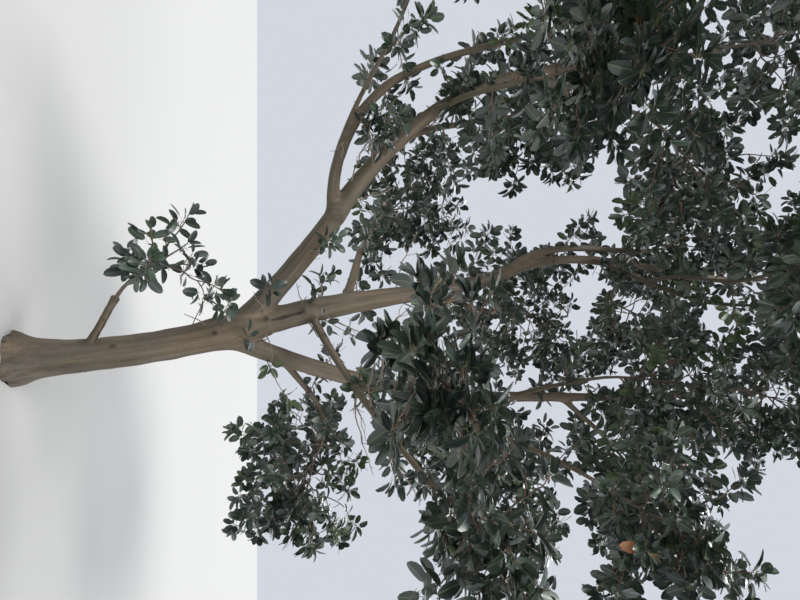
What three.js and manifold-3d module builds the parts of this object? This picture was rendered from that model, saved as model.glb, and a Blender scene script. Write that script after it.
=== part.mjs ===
// A Greek strawberry tree: a smooth-barked evergreen with a leaning trunk that forks at breast height,
// sinuous boughs that turn upwards, and an open, rounded crown of broad leaves in loose sprays.
// Millimetres, +Z up. The origin is the middle of the trunk's flat cut at ground level.
// +X is to the right and +Y is away from someone who stands in front of the tree.
import * as THREE from "three";
import { mergeVertices } from "three/addons/utils/BufferGeometryUtils.js";
import Module from "manifold-3d";

const wasm = await Module();
wasm.setup();

// Driving dimensions, in millimetres. A share is of the whole length that its comment names.
const JOINT_GAP = 0.3; // between a limb and what it grows from
const COLLAR_MARGIN = 12; // how far past its parent and its neighbours a collar ends
const COLLAR_BURY = 25; // how far a collar that goes on from a tip starts inside it
const COLLAR_SWELL = 0.3; // swelling where a limb leaves its parent, as a share of its radius
const COLLAR_FADE = 0.9; // how far along the limb that swelling fades, in widths of its foot
const COLLAR_MOST = 0.6; // the largest share of a limb that its collar can take
const COLLAR_STEP = 6; // how closely the end of a collar is looked for
const TRUNK_TOP = [-222, 10, 1560]; // where the trunk becomes the centre bough
const TRUNK_POINTS = [177, 74]; // its heading and rise there
const TRUNK_WAIST = 205; // diameter of the trunk at knee to hip height
const TRUNK_TOP_WIDTH = 178;
const TRUNK_SIDES = 20;
const TRUNK_ROWS = 12;
const FLARE_WIDTH = 325; // diameter of the root flare at the ground
const FLARE_HEIGHT = 170; // height by which most of the flare is gone
const FLARE_POWER = 1.3; // how suddenly it fades there
const FLARE_LOBES = 5; // roots that show as ridges round the foot
const LOBE_DEPTH = 0.13; // how far the ridges stand out, as a share of the radius
const LOBE_TURN = 0.6; // how far round the foot they are turned, in radians
const FORK_SWELL = 0.22; // swelling of the trunk under its fork, as a share of the radius
const FORK_SHARE = 0.84; // where along the trunk it is thickest
const FORK_SPREAD = 0.13; // how far along the trunk it fades
const THICK_LIMB = 100; // limbs with a thicker foot have the first number of sides
const THIN_LIMB = 60; // limbs with a thinner foot have the last number of sides
const LIMB_SIDES = [12, 8, 6];
const LIMB_ROW = 290; // about how long one straight stretch of a limb is
const LEAST_ROWS = 3; // the fewest stretches in a limb
const SAMPLE_STEP = 20; // spacing of the points at which a limb's axis is measured
const SPRAY_SHARE = 0.47; // a blade stands for a spray of leaves: its length over its mass's half width
const SPRAY_SIZES = [1, 0.8, 0.62, 0.48]; // the sizes tried until one fits
const SPRAY_WIDTH = 0.56; // its width, as a share of its length
const SPRAY_KEEL = 0.026; // how high its keel stands, as a share of its length
const SPRAY_WIDEST = 0.56; // the share of its length at which it is widest
const SPRAY_SUNK = 2; // how far a blade's root is sunk past its twig's middle
const SPRAY_SIDES = 3;
const SPRAY_TESTS = 10; // rows of points at which a blade is tested
const SPRAY_ACROSS = [-1, -0.5, 0, 0.5, 1]; // the points in a row, as shares of the blade's half width there
const SPRAY_APART = 0.42; // the least distance between two sprays' middles, as a share of a full spray
const SPRAY_ROLL = 0.9; // the most that a blade is rolled about its own length, in radians
const SPRAY_SPREAD = [0.8, 1.1]; // the angle between a spray and its twig, in radians
const TIP_SPREAD = 0.25; // the same for the spray at a twig's tip
const SPRAY_RISE = 0.75; // how much of its rise a spray keeps: leaves lie towards the level
const SPRAY_DROOP = 0.06;
const SPRAY_LIFT = 0.6; // how much further a spray spreads sideways than up or down
const SPRAY_TURN = 2.5; // the turn round the twig from one spray to the next, in radians
const FIRST_SPRAY = 0.4; // shares of a twig at which its first and last side sprays sit
const LAST_SPRAY = 0.9;
const TWIG_WIDTH = 17;
const TWIG_TIP_WIDTH = 11;
const TWIG_TESTS = 24; // points at which a twig is tested
const TWIG_REACH = 0.85; // a twig ends this share of a spray short of its mass's outline
const TWIG_LEAST = 0.86; // and at least this share of the way to there
const TWIG_LEAVES = [0.14, 0.97]; // shares of the stem between which twigs leave it
const TWIG_BEHIND = 0.56; // how far along the stem a twig leaves it, as a share of where it ends
const STEM_WIDTH = 26; // diameter of the stem inside a mass of foliage
const STEM_FIT = 1.7; // its diameter is at most this many times the radius of the limb's tip
const STEM_TAPER = 0.6; // the share of its width that a stem loses to its tip
const STEM_BEYOND = 0.35; // how far it runs past its mass's middle, as a share of the way there
const STEM_SIDES = 5;
const STEM_ROWS = 3;
const SPACE_MARGIN = 6; // a mass keeps this far inside its own space
const LIMB_CLEARANCE = 22; // and its twigs and sprays this far from every limb
const LIMBS_NEAR = 1.5; // within which limbs are tested, in half widths of the mass from its middle
const FIRST_SEED = 1000; // of the first mass, and the step from one mass to the next
const SEED_STEP = 77;
const SAME_POINT = 1e-3; // points closer than this are one
const GOLDEN_ANGLE = Math.PI * (3 - Math.sqrt(5));

const BARK = { color: 0x8a7566, roughness: 0.75, metalness: 0 };
const FOLIAGE = { color: 0x3c5230, roughness: 0.55, metalness: 0 };

// The limbs. Each leaves a parent at a share of its length, in a direction given by its heading in degrees
// (0 is +X, 90 is +Y) and its rise above the level, and ends at its tip, pointing in a second direction.
// A share of 1 goes on from the parent's own tip. Widths are diameters at the foot and at the tip.
const LIMBS = [
  { name: "left_bough", parent: "trunk", share: 0.87, leaves: [183, 42], tip: [-985, -140, 2035],
    points: [187, 33], widths: [150, 132] },
  { name: "left_rising_limb", parent: "left_bough", share: 1, leaves: [187, 33], tip: [-1690, -440, 2800],
    points: [200, 62], widths: [126, 78] },
  { name: "left_upright_limb", parent: "left_rising_limb", share: 1, leaves: [200, 62], tip: [-2030, -640, 4480],
    points: [205, 72], widths: [74, 40] },
  { name: "left_side_limb", parent: "left_bough", share: 0.93, leaves: [195, -14], tip: [-1770, -390, 2360],
    points: [203, 58], widths: [84, 56] },
  { name: "left_outer_limb", parent: "left_side_limb", share: 1, leaves: [203, 58], tip: [-2080, -500, 3230],
    points: [200, 72], widths: [54, 34] },
  { name: "left_twin_limb", parent: "left_rising_limb", share: 0.5, leaves: [165, 58], tip: [-1700, 150, 3080],
    points: [130, 52], widths: [56, 34] },
  { name: "left_front_limb", parent: "left_rising_limb", share: 0.78, leaves: [262, 22], tip: [-1500, -1250, 2850],
    points: [278, 24], widths: [44, 26] },
  { name: "centre_bough", parent: "trunk", share: 1, leaves: [177, 74], tip: [-610, 500, 3520],
    points: [140, 66], widths: [172, 84] },
  { name: "centre_left_arm", parent: "centre_bough", share: 0.95, leaves: [160, 46], tip: [-800, 760, 4900],
    points: [110, 80], widths: [66, 38] },
  { name: "centre_right_arm", parent: "centre_bough", share: 1, leaves: [140, 66], tip: [-560, 850, 6150],
    points: [120, 80], widths: [78, 40] },
  { name: "front_top_limb", parent: "centre_right_arm", share: 0.3, leaves: [300, 52], tip: [-330, -150, 4980],
    points: [275, 52], widths: [48, 30] },
  { name: "back_left_limb", parent: "centre_bough", share: 0.26, leaves: [150, 22], tip: [-1010, 990, 2480],
    points: [135, 34], widths: [70, 36] },
  { name: "back_limb", parent: "centre_bough", share: 0.62, leaves: [75, 36], tip: [-260, 1260, 3600],
    points: [84, 48], widths: [64, 36] },
  { name: "right_bough", parent: "trunk", share: 0.8, leaves: [8, 66], tip: [385, 330, 3280],
    points: [75, 80], widths: [126, 82] },
  { name: "right_upright_limb", parent: "right_bough", share: 1, leaves: [75, 80], tip: [440, 620, 5620],
    points: [120, 82], widths: [80, 40] },
  { name: "right_side_limb", parent: "right_bough", share: 0.86, leaves: [5, 36], tip: [830, 480, 3240],
    points: [20, 30], widths: [46, 30] },
  { name: "right_near_limb", parent: "right_bough", share: 0.7, leaves: [318, 40], tip: [690, -780, 3420],
    points: [292, 32], widths: [48, 28] },
  { name: "right_top_limb", parent: "right_upright_limb", share: 0.26, leaves: [350, 44], tip: [800, 440, 4310],
    points: [350, 40], widths: [48, 30] },
  { name: "right_low_limb", parent: "right_bough", share: 0.2, leaves: [38, 26], tip: [620, 560, 1990],
    points: [30, 4], widths: [52, 32] },
  { name: "back_right_limb", parent: "right_bough", share: 0.52, leaves: [70, 34], tip: [640, 1220, 3080],
    points: [58, 36], widths: [54, 32] },
  { name: "front_limb", parent: "centre_bough", share: 0.14, leaves: [310, 14], tip: [430, -1480, 2230],
    points: [282, 8], widths: [56, 28] },
  { name: "front_side_limb", parent: "front_limb", share: 0.5, leaves: [262, 14], tip: [-40, -1700, 2140],
    points: [256, 0], widths: [26, 18] },
  { name: "left_low_limb", parent: "left_side_limb", share: 0.42, leaves: [190, 8], tip: [-2060, -640, 2330],
    points: [196, 20], widths: [34, 24] },
  { name: "left_inner_limb", parent: "left_upright_limb", share: 0.3, leaves: [20, 40], tip: [-1580, -420, 4180],
    points: [25, 62], widths: [40, 26] },
  { name: "front_high_limb", parent: "front_top_limb", share: 0.45, leaves: [252, 12], tip: [-520, -880, 4640],
    points: [255, 10], widths: [34, 24] },
  { name: "back_top_limb", parent: "centre_right_arm", share: 0.42, leaves: [70, 42], tip: [-330, 1480, 4980],
    points: [72, 50], widths: [44, 28] },
  { name: "right_inner_limb", parent: "right_upright_limb", share: 0.06, leaves: [240, 46], tip: [215, -50, 3900],
    points: [250, 52], widths: [42, 26] },
  { name: "low_stub", parent: "trunk", share: 0.25, leaves: [205, 40], tip: [-375, -310, 670],
    points: [218, 30], widths: [58, 44] },
];

// The masses of foliage. Each grows from one limb's tip and fills its own rounded space: its middle, and half
// its width, depth and height. A mass grows so many twigs from its stem, with so many sprays on each.
const MASSES = [
  { name: "left_crown_foliage", from: "left_upright_limb", middle: [-2130, -620, 5210], half: [880, 860, 820],
    twigs: 6, sprays: 4 },
  { name: "left_outer_foliage", from: "left_outer_limb", middle: [-2340, -560, 3780], half: [760, 760, 740],
    twigs: 6, sprays: 4 },
  { name: "left_front_foliage", from: "left_front_limb", middle: [-1500, -1720, 3080], half: [720, 640, 600],
    twigs: 6, sprays: 3 },
  { name: "left_back_foliage", from: "left_twin_limb", middle: [-1840, 560, 3600], half: [820, 780, 780],
    twigs: 6, sprays: 4 },
  { name: "back_left_foliage", from: "back_left_limb", middle: [-1310, 1420, 2830], half: [860, 800, 740],
    twigs: 6, sprays: 4 },
  { name: "centre_left_foliage", from: "centre_left_arm", middle: [-1020, 850, 5400], half: [860, 880, 860],
    twigs: 6, sprays: 4 },
  { name: "centre_crown_foliage", from: "centre_right_arm", middle: [-620, 800, 6760], half: [900, 880, 800],
    twigs: 6, sprays: 4 },
  { name: "front_crown_foliage", from: "front_top_limb", middle: [-330, -620, 5520], half: [880, 800, 760],
    twigs: 6, sprays: 4 },
  { name: "back_foliage", from: "back_limb", middle: [-230, 1640, 4130], half: [980, 900, 920],
    twigs: 6, sprays: 4 },
  { name: "back_right_foliage", from: "back_right_limb", middle: [900, 1620, 3420], half: [800, 760, 740],
    twigs: 6, sprays: 4 },
  { name: "right_crown_foliage", from: "right_upright_limb", middle: [560, 620, 6130], half: [900, 880, 800],
    twigs: 6, sprays: 4 },
  { name: "right_top_foliage", from: "right_top_limb", middle: [1160, 400, 4640], half: [820, 840, 800],
    twigs: 6, sprays: 4 },
  { name: "right_side_foliage", from: "right_side_limb", middle: [1200, 480, 3400], half: [780, 800, 800],
    twigs: 6, sprays: 4 },
  { name: "right_near_foliage", from: "right_near_limb", middle: [880, -1230, 3700], half: [620, 640, 620],
    twigs: 6, sprays: 3 },
  { name: "right_low_foliage", from: "right_low_limb", middle: [1060, 830, 1820], half: [820, 760, 740],
    twigs: 6, sprays: 4 },
  { name: "right_front_foliage", from: "front_limb", middle: [560, -1960, 2380], half: [520, 540, 420],
    twigs: 6, sprays: 3 },
  { name: "centre_front_foliage", from: "front_side_limb", middle: [-130, -2160, 2130], half: [480, 500, 330],
    twigs: 6, sprays: 3 },
  { name: "left_low_foliage", from: "left_low_limb", middle: [-2560, -740, 2560], half: [560, 560, 480],
    twigs: 5, sprays: 3 },
  { name: "left_inner_foliage", from: "left_inner_limb", middle: [-1300, -300, 4560], half: [760, 740, 760],
    twigs: 6, sprays: 3 },
  { name: "front_high_foliage", from: "front_high_limb", middle: [-600, -1340, 4700], half: [700, 640, 620],
    twigs: 6, sprays: 3 },
  { name: "back_top_foliage", from: "back_top_limb", middle: [-200, 1760, 5450], half: [900, 880, 880],
    twigs: 6, sprays: 4 },
  { name: "low_shoot_foliage", from: "low_stub", middle: [-590, -680, 1010], half: [380, 420, 440],
    twigs: 4, sprays: 3 },
  { name: "right_inner_foliage", from: "right_inner_limb", middle: [240, -220, 4420], half: [780, 700, 760],
    twigs: 6, sprays: 3 },
];

// A seeded run of numbers from 0 to 1, the same on every machine.
function seeded(seed) {
  const [factor, prime] = [48271, 2 ** 31 - 1];
  let state = seed;
  return () => {
    state = (state * factor) % prime;
    return state / prime;
  };
}

const vector = ([x, y, z]) => new THREE.Vector3(x, y, z);

// The unit vector of a heading and a rise, in degrees.
function direction([heading, rise]) {
  const [a, b] = [heading, rise].map(THREE.MathUtils.degToRad);
  return new THREE.Vector3(Math.cos(a) * Math.cos(b), Math.sin(a) * Math.cos(b), Math.sin(b));
}

// The curve from one point to another that leaves and arrives in given directions.
function growthCurve(from, leaves, to, arrives) {
  const handle = from.distanceTo(to) / 3;
  return new THREE.CubicBezierCurve3(
    from,
    from.clone().addScaledVector(leaves, handle),
    to.clone().addScaledVector(arrives, -handle),
    to,
  );
}

// The unit direction of such a curve at a share of its length.
function tangentAt({ v0, v1, v2, v3 }, share) {
  const tangent = v1.clone().sub(v0).multiplyScalar((1 - share) ** 2);
  tangent.addScaledVector(v2.clone().sub(v1), 2 * share * (1 - share));
  return tangent.addScaledVector(v3.clone().sub(v2), share ** 2).normalize();
}

// A curve's point at a share of its length. Before its start it runs straight on backwards.
function pointAt(curve, share) {
  if (share >= 0) return curve.getPoint(share);
  return curve.getPoint(0).addScaledVector(tangentAt(curve, 0), share * curve.getLength());
}

// A point on the axis of a tube that has so many rows along a whole curve, which is straight within each row.
function axisPoint(curve, rows, share) {
  const row = Math.min(Math.floor(share * rows), rows - 1);
  return curve.getPoint(row / rows).lerp(curve.getPoint((row + 1) / rows), share * rows - row);
}

// A closed tapering tube along a stretch of a curve: a cylinder whose rings are laid along it, each square to it.
// radiusAt(share, angle) is the tube's radius there.
function tube(curve, radiusAt, sides, rows, begin = 0, end = 1) {
  const geometry = new THREE.CylinderGeometry(1, 1, 1, sides, rows);
  const place = geometry.getAttribute("position");
  const rings = [];
  let side = new THREE.Vector3(0, 1, 0);
  for (let row = 0; row <= rows; row++) {
    const share = begin + ((end - begin) * row) / rows;
    const along = tangentAt(curve, Math.max(share, 0));
    if (row === 0 && Math.abs(side.dot(along)) > 0.9) side.set(1, 0, 0);
    side = side.clone().addScaledVector(along, -side.dot(along)).normalize();
    rings.push({ share, middle: pointAt(curve, share), side, other: along.clone().cross(side) });
  }
  const point = new THREE.Vector3();
  for (let i = 0; i < place.count; i++) {
    point.fromBufferAttribute(place, i);
    const ring = rings[Math.round((point.y + 0.5) * rows)];
    const out = Math.hypot(point.x, point.z) > 0.5 ? 1 : 0;
    const angle = Math.atan2(-point.z, point.x);
    const radius = out * radiusAt(ring.share, angle);
    point.copy(ring.middle);
    point.addScaledVector(ring.side, radius * Math.cos(angle));
    point.addScaledVector(ring.other, radius * Math.sin(angle));
    place.setXYZ(i, point.x, point.y, point.z);
  }
  return geometry;
}

// A spray: a keeled blade of six faces from its root to its tip, widest past its middle.
function sprayBlade({ root, along, across, length }) {
  const profile = [[0, 0], [1, SPRAY_WIDEST], [0, 1]].map(([out, forward]) => new THREE.Vector2(out, forward));
  const geometry = new THREE.LatheGeometry(profile, SPRAY_SIDES);
  const halfWidth = (SPRAY_WIDTH * length) / 2;
  geometry.scale(halfWidth / Math.sin(Math.PI / SPRAY_SIDES), length, SPRAY_KEEL * length);
  const frame = new THREE.Matrix4().makeBasis(across, along, across.clone().cross(along));
  frame.setPosition(root.clone().addScaledVector(along, -SPRAY_SUNK));
  return geometry.applyMatrix4(frame);
}

// A shoot: a straight three-sided twig that widens at its tip into a keeled spray, which may point another way.
function shoot({ twig, along, across, length }) {
  const [root, tip] = [twig.getPoint(0), twig.getPoint(1)];
  const up = across.clone().cross(along);
  const twigAlong = tip.clone().sub(root).normalize();
  const side = across.clone().addScaledVector(twigAlong, -across.dot(twigAlong)).normalize();
  const above = side.clone().cross(twigAlong);
  const widest = tip.clone().addScaledVector(along, SPRAY_WIDEST * length);
  const end = tip.clone().addScaledVector(along, length);
  const halfWidth = (SPRAY_WIDTH * length) / 2 / Math.sin(Math.PI / SPRAY_SIDES);
  const stations = [
    { middle: root, width: 0, height: 0, side, above },
    { middle: root, width: TWIG_WIDTH / 2, height: TWIG_WIDTH / 2, side, above },
    { middle: tip, width: TWIG_TIP_WIDTH / 2, height: TWIG_TIP_WIDTH / 2, side, above },
    { middle: widest, width: halfWidth, height: SPRAY_KEEL * length, side: across, above: up },
    { middle: end, width: 0, height: 0, side: across, above: up },
  ];
  const profile = stations.map(({ width }, i) => new THREE.Vector2(width > 0 ? 1 : 0, i));
  const geometry = new THREE.LatheGeometry(profile, SPRAY_SIDES);
  const place = geometry.getAttribute("position");
  for (let i = 0; i < place.count; i++) {
    const station = stations[Math.round(place.getY(i))];
    const point = station.middle.clone();
    point.addScaledVector(station.side, place.getX(i) * station.width);
    point.addScaledVector(station.above, place.getZ(i) * station.height);
    place.setXYZ(i, point.x, point.y, point.z);
  }
  return geometry;
}

// A geometry as a solid that can be joined to others.
function solid(geometry) {
  const bare = geometry.clone();
  bare.deleteAttribute("normal");
  bare.deleteAttribute("uv");
  const merged = mergeVertices(bare, SAME_POINT);
  const vertProperties = merged.getAttribute("position").array;
  const triVerts = new Uint32Array(merged.index.array);
  const made = new wasm.Manifold(new wasm.Mesh({ numProp: 3, vertProperties, triVerts }));
  if (made.volume() > 0) return made;
  // The faces point inwards, so each is turned over.
  for (let i = 0; i < triVerts.length; i += 3) [triVerts[i], triVerts[i + 1]] = [triVerts[i + 1], triVerts[i]];
  return new wasm.Manifold(new wasm.Mesh({ numProp: 3, vertProperties, triVerts }));
}

// Several geometries joined into one mesh. Loose scraps are dropped.
function joined(name, geometries, look) {
  let whole = solid(geometries[0]);
  for (const geometry of geometries.slice(1)) whole = whole.add(solid(geometry));
  const largest = whole.decompose().reduce((a, b) => (a.volume() > b.volume() ? a : b));
  const { vertProperties, triVerts } = largest.getMesh();
  const geometry = new THREE.BufferGeometry();
  geometry.setAttribute("position", new THREE.BufferAttribute(new Float32Array(vertProperties), 3));
  geometry.setIndex(new THREE.BufferAttribute(new Uint32Array(triVerts), 1));
  geometry.computeVertexNormals();
  const mesh = new THREE.Mesh(geometry, new THREE.MeshStandardMaterial(look));
  mesh.name = name;
  return mesh;
}

// The trunk's radius: the root flare with its ridges, the long waist, and the swelling under the fork.
function trunkRadius(share, angle) {
  const height = share * TRUNK_TOP[2];
  const flare = Math.exp(-((height / FLARE_HEIGHT) ** FLARE_POWER));
  const ridges = 1 + LOBE_DEPTH * flare * Math.cos(FLARE_LOBES * angle + LOBE_TURN);
  const swell = 1 + FORK_SWELL * Math.exp(-(((share - FORK_SHARE) / FORK_SPREAD) ** 2));
  const plain = THREE.MathUtils.lerp(TRUNK_WAIST, TRUNK_TOP_WIDTH, share ** 2) / 2;
  return (plain * swell + (FLARE_WIDTH / 2 - plain) * flare) * ridges;
}

// A limb's radius: swollen at its collar, then tapering to its tip.
function limbRadius([foot, tip], length, joinsSideways) {
  return (share) => {
    const swell = joinsSideways ? COLLAR_SWELL * Math.exp((-share * length) / (COLLAR_FADE * foot)) : 0;
    return (THREE.MathUtils.lerp(foot, tip, share) / 2) * (1 + swell);
  };
}

// Closely spaced points on a limb's axis, each with the limb's radius there.
function sampleLimb({ curve, radiusAt, length }) {
  const count = Math.ceil(length / SAMPLE_STEP);
  return Array.from({ length: count + 1 }, (_, i) => ({
    middle: curve.getPoint(i / count),
    radius: radiusAt(i / count, 0),
  }));
}

// The share of a limb's length at which it has come clear of other limbs near its foot.
function clearShare(limb, others) {
  const steps = Math.ceil(limb.length / COLLAR_STEP);
  let last = 0;
  for (let i = 0; i < steps * COLLAR_MOST; i++) {
    const share = i / steps;
    const [middle, along] = [limb.curve.getPoint(share), tangentAt(limb.curve, share)];
    const radius = limb.radiusAt(share, 0);
    const inside = others.some((other) =>
      other.samples.some((sample) => {
        const off = sample.middle.clone().sub(middle);
        const height = Math.abs(off.dot(along));
        const sideways = Math.sqrt(Math.max(0, off.lengthSq() - height * height));
        const gap = Math.hypot(Math.max(0, sideways - radius), height);
        return gap < sample.radius + COLLAR_MARGIN;
      }),
    );
    if (inside) last = share;
  }
  return last;
}

// Works out every limb from its parent, and where its own solid starts.
function growLimbs() {
  const trunkCurve = growthCurve(vector([0, 0, 0]), direction([0, 90]), vector(TRUNK_TOP), direction(TRUNK_POINTS));
  const limbs = new Map();
  const trunk = { name: "trunk", curve: trunkCurve, radiusAt: trunkRadius, sides: TRUNK_SIDES, rows: TRUNK_ROWS };
  trunk.length = trunkCurve.getLength();
  trunk.samples = sampleLimb(trunk);
  limbs.set("trunk", trunk);
  for (const { name, parent, share, leaves, tip, points, widths } of LIMBS) {
    const from = limbs.get(parent);
    const foot = from.curve.getPoint(share);
    const [out, end] = [direction(leaves), vector(tip)];
    const start = share === 1 ? tangentAt(from.curve, 1) : out;
    const curve = growthCurve(foot, start, end, direction(points));
    const length = curve.getLength();
    const radiusAt = limbRadius(widths, length, share < 1);
    const sides = LIMB_SIDES[widths[0] > THICK_LIMB ? 0 : widths[0] > THIN_LIMB ? 1 : 2];
    const rows = Math.max(LEAST_ROWS, Math.round(length / LIMB_ROW));
    const collarRows = widths[0] > THIN_LIMB ? 2 : 1;
    const limb = { name, parent, curve, radiusAt, length, sides, rows, collarRows, goesOn: share === 1 };
    limb.samples = sampleLimb(limb);
    limbs.set(name, limb);
  }
  for (const limb of limbs.values()) {
    if (!limb.parent) continue;
    const beside = [...limbs.values()].filter((other) => other !== limb && other.parent === limb.parent);
    limb.seat = clearShare(limb, limb.goesOn ? beside : [...beside, limbs.get(limb.parent)]);
  }
  return limbs;
}

// How far a point lies from the nearest limb's surface.
function limbDistance(point, limbAxes) {
  let nearest = Infinity;
  for (const { middle, radius } of limbAxes) nearest = Math.min(nearest, middle.distanceTo(point) - radius);
  return nearest;
}

// Whether a point is in a mass's space: inside its rounded outline, and on its side of the plane
// that parts it from each other mass.
function inSpace(point, mass) {
  const from = point.clone().sub(mass.centre);
  const { x, y, z } = from.clone().divide(mass.reach);
  if (x * x + y * y + z * z > 1) return false;
  return mass.neighbours.every(({ towards, limit }) => from.dot(towards) < limit);
}

// The planes that part a mass from its neighbours, where the two outlines cross.
function findNeighbours(masses) {
  for (const mass of masses) {
    mass.neighbours = [];
    for (const other of masses) {
      if (other === mass) continue;
      const apart = other.centre.clone().sub(mass.centre);
      const distance = apart.length();
      if (distance > mass.size + other.size) continue;
      const limit = (distance ** 2 + mass.size ** 2 - other.size ** 2) / (2 * distance) - SPACE_MARGIN;
      mass.neighbours.push({ towards: apart.normalize(), limit });
    }
  }
}

// Points spread over a spray's blade, for testing where it lies.
function sprayPoints({ root, along, across, length }) {
  const points = [];
  for (let row = 1; row <= SPRAY_TESTS; row++) {
    const forward = row / SPRAY_TESTS;
    const taper = forward < SPRAY_WIDEST ? forward / SPRAY_WIDEST : (1 - forward) / (1 - SPRAY_WIDEST);
    for (const side of SPRAY_ACROSS) {
      const point = root.clone().addScaledVector(along, forward * length);
      points.push(point.addScaledVector(across, (side * taper * SPRAY_WIDTH * length) / 2));
    }
  }
  return points;
}

// The blade directions of a spray that leaves its twig at an angle round it, drawn towards the level
// and rolled about its own length.
function sprayFrame(twigAlong, turn, spread, roll) {
  const level = new THREE.Vector3(0, 0, 1);
  const side = twigAlong.clone().cross(level).normalize();
  const other = side.clone().cross(twigAlong);
  const along = twigAlong.clone().multiplyScalar(Math.cos(spread));
  along.addScaledVector(side, Math.sin(spread) * Math.cos(turn));
  along.addScaledVector(other, Math.sin(spread) * Math.sin(turn) * SPRAY_LIFT);
  along.z = along.z * SPRAY_RISE - SPRAY_DROOP;
  along.normalize();
  const across = along.clone().cross(level).normalize().applyAxisAngle(along, roll);
  return { along, across };
}

// Grows one mass: a stem from the limb's tip, twigs from the stem to places spread evenly round its space,
// and sprays along each twig. What would leave the space or touch a limb is skipped.
function growMass(mass, index, limbs, limbAxes) {
  const random = seeded(FIRST_SEED + SEED_STEP * index);
  const limb = limbs.get(mass.from);
  const tipAlong = tangentAt(limb.curve, 1);
  const foot = limb.curve.getPoint(1).addScaledVector(tipAlong, JOINT_GAP);
  const through = mass.centre.clone().sub(foot);
  const stemEnd = mass.centre.clone().addScaledVector(through, STEM_BEYOND);
  const stem = growthCurve(foot, tipAlong, stemEnd, through.clone().normalize());
  const stemWidth = Math.min(STEM_WIDTH, limb.radiusAt(1, 0) * STEM_FIT);
  const stemRadius = (share) => (stemWidth / 2) * (1 - STEM_TAPER * share);
  const pieces = [tube(stem, stemRadius, STEM_SIDES, STEM_ROWS)];
  const sprayLength = SPRAY_SHARE * mass.size;
  const turnStart = random() * Math.PI * 2;

  const middles = [];
  const nearAxes = limbAxes.filter(({ middle }) => middle.distanceTo(mass.centre) < mass.size * LIMBS_NEAR);
  const clear = (points) => points.every((p) => inSpace(p, mass) && limbDistance(p, nearAxes) > LIMB_CLEARANCE);

  for (let k = 0; k < mass.twigs; k++) {
    const height = 1 - (2 * (k + 0.5)) / mass.twigs;
    const turn = turnStart + k * GOLDEN_ANGLE;
    const flat = Math.sqrt(1 - height * height);
    const outwards = new THREE.Vector3(flat * Math.cos(turn), flat * Math.sin(turn), height);
    const reach = mass.reach.clone().addScalar(-sprayLength * TWIG_REACH);
    reach.multiplyScalar(THREE.MathUtils.lerp(TWIG_LEAST, 1, random()));
    const target = mass.centre.clone().add(outwards.clone().multiply(reach));
    const progress = target.clone().sub(foot).dot(through) / through.lengthSq();
    const share = THREE.MathUtils.clamp(progress * TWIG_BEHIND, ...TWIG_LEAVES);
    const twig = new THREE.LineCurve3(axisPoint(stem, STEM_ROWS, share), target);
    const twigPoints = Array.from({ length: TWIG_TESTS }, (_, i) => twig.getPoint((i + 1) / TWIG_TESTS));
    if (!clear(twigPoints)) continue;
    const twigAlong = target.clone().sub(twig.v1).normalize();
    const grow = (share, turn, spread) => {
      const frame = sprayFrame(twigAlong, turn, spread, SPRAY_ROLL * (2 * random() - 1));
      const root = twig.getPoint(share);
      for (const length of SPRAY_SIZES.map((size) => size * sprayLength)) {
        const middle = root.clone().addScaledVector(frame.along, SPRAY_WIDEST * length);
        if (middles.some((other) => other.distanceTo(middle) < SPRAY_APART * sprayLength)) continue;
        if (!clear(sprayPoints({ root, length, ...frame }))) continue;
        middles.push(middle);
        return { root, length, ...frame };
      }
      return null;
    };
    const tipSpray = grow(1, k, TIP_SPREAD);
    if (!tipSpray) continue;
    pieces.push(shoot({ twig, ...tipSpray }));
    for (let j = 0; j < mass.sprays - 1; j++) {
      const share = THREE.MathUtils.lerp(FIRST_SPRAY, LAST_SPRAY, j / (mass.sprays - 2));
      const spread = THREE.MathUtils.lerp(...SPRAY_SPREAD, random());
      const spray = grow(share, k + (j + 1) * SPRAY_TURN, spread);
      if (spray) pieces.push(sprayBlade(spray));
    }
  }
  return joined(mass.name, pieces, FOLIAGE);
}

// One limb's own solid, with the foot of each limb that grows from it.
function buildLimb(limb, limbs) {
  const { name, curve, radiusAt, seat, length, sides, rows } = limb;
  const begin = limb.parent ? seat + JOINT_GAP / length : 0;
  const pieces = [tube(curve, radiusAt, sides, rows, begin, 1)];
  for (const child of limbs.values()) {
    if (child.parent !== name || child.seat === 0) continue;
    const start = child.goesOn ? -COLLAR_BURY / child.length : 0;
    pieces.push(tube(child.curve, child.radiusAt, child.sides, child.collarRows, start, child.seat));
  }
  return joined(name, pieces, BARK);
}

const limbs = growLimbs();
const limbAxes = [...limbs.values()].flatMap((limb) => limb.samples);
const masses = MASSES.map((mass) => ({
  ...mass,
  centre: vector(mass.middle),
  reach: vector(mass.half),
  size: (mass.half[0] + mass.half[1] + mass.half[2]) / 3,
}));
findNeighbours(masses);

const tree = new THREE.Group();
for (const limb of limbs.values()) tree.add(buildLimb(limb, limbs));
masses.forEach((mass, index) => tree.add(growMass(mass, index, limbs, limbAxes)));

export default tree;
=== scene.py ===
"""The looks of the Greek strawberry tree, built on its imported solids.

The bark is one skin over the trunk and every limb. Each mass of foliage grows on from its limb by the same
rule as the solids do, and each spray there is carried on here to side shoots and rosettes of single leaves.
Tables and lengths are in millimetres, as the solids' are. A shape is scaled to metres as it becomes a mesh.
"""

import math

import bmesh
import bpy
import numpy as np
from mathutils import Matrix, Vector, noise

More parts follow.
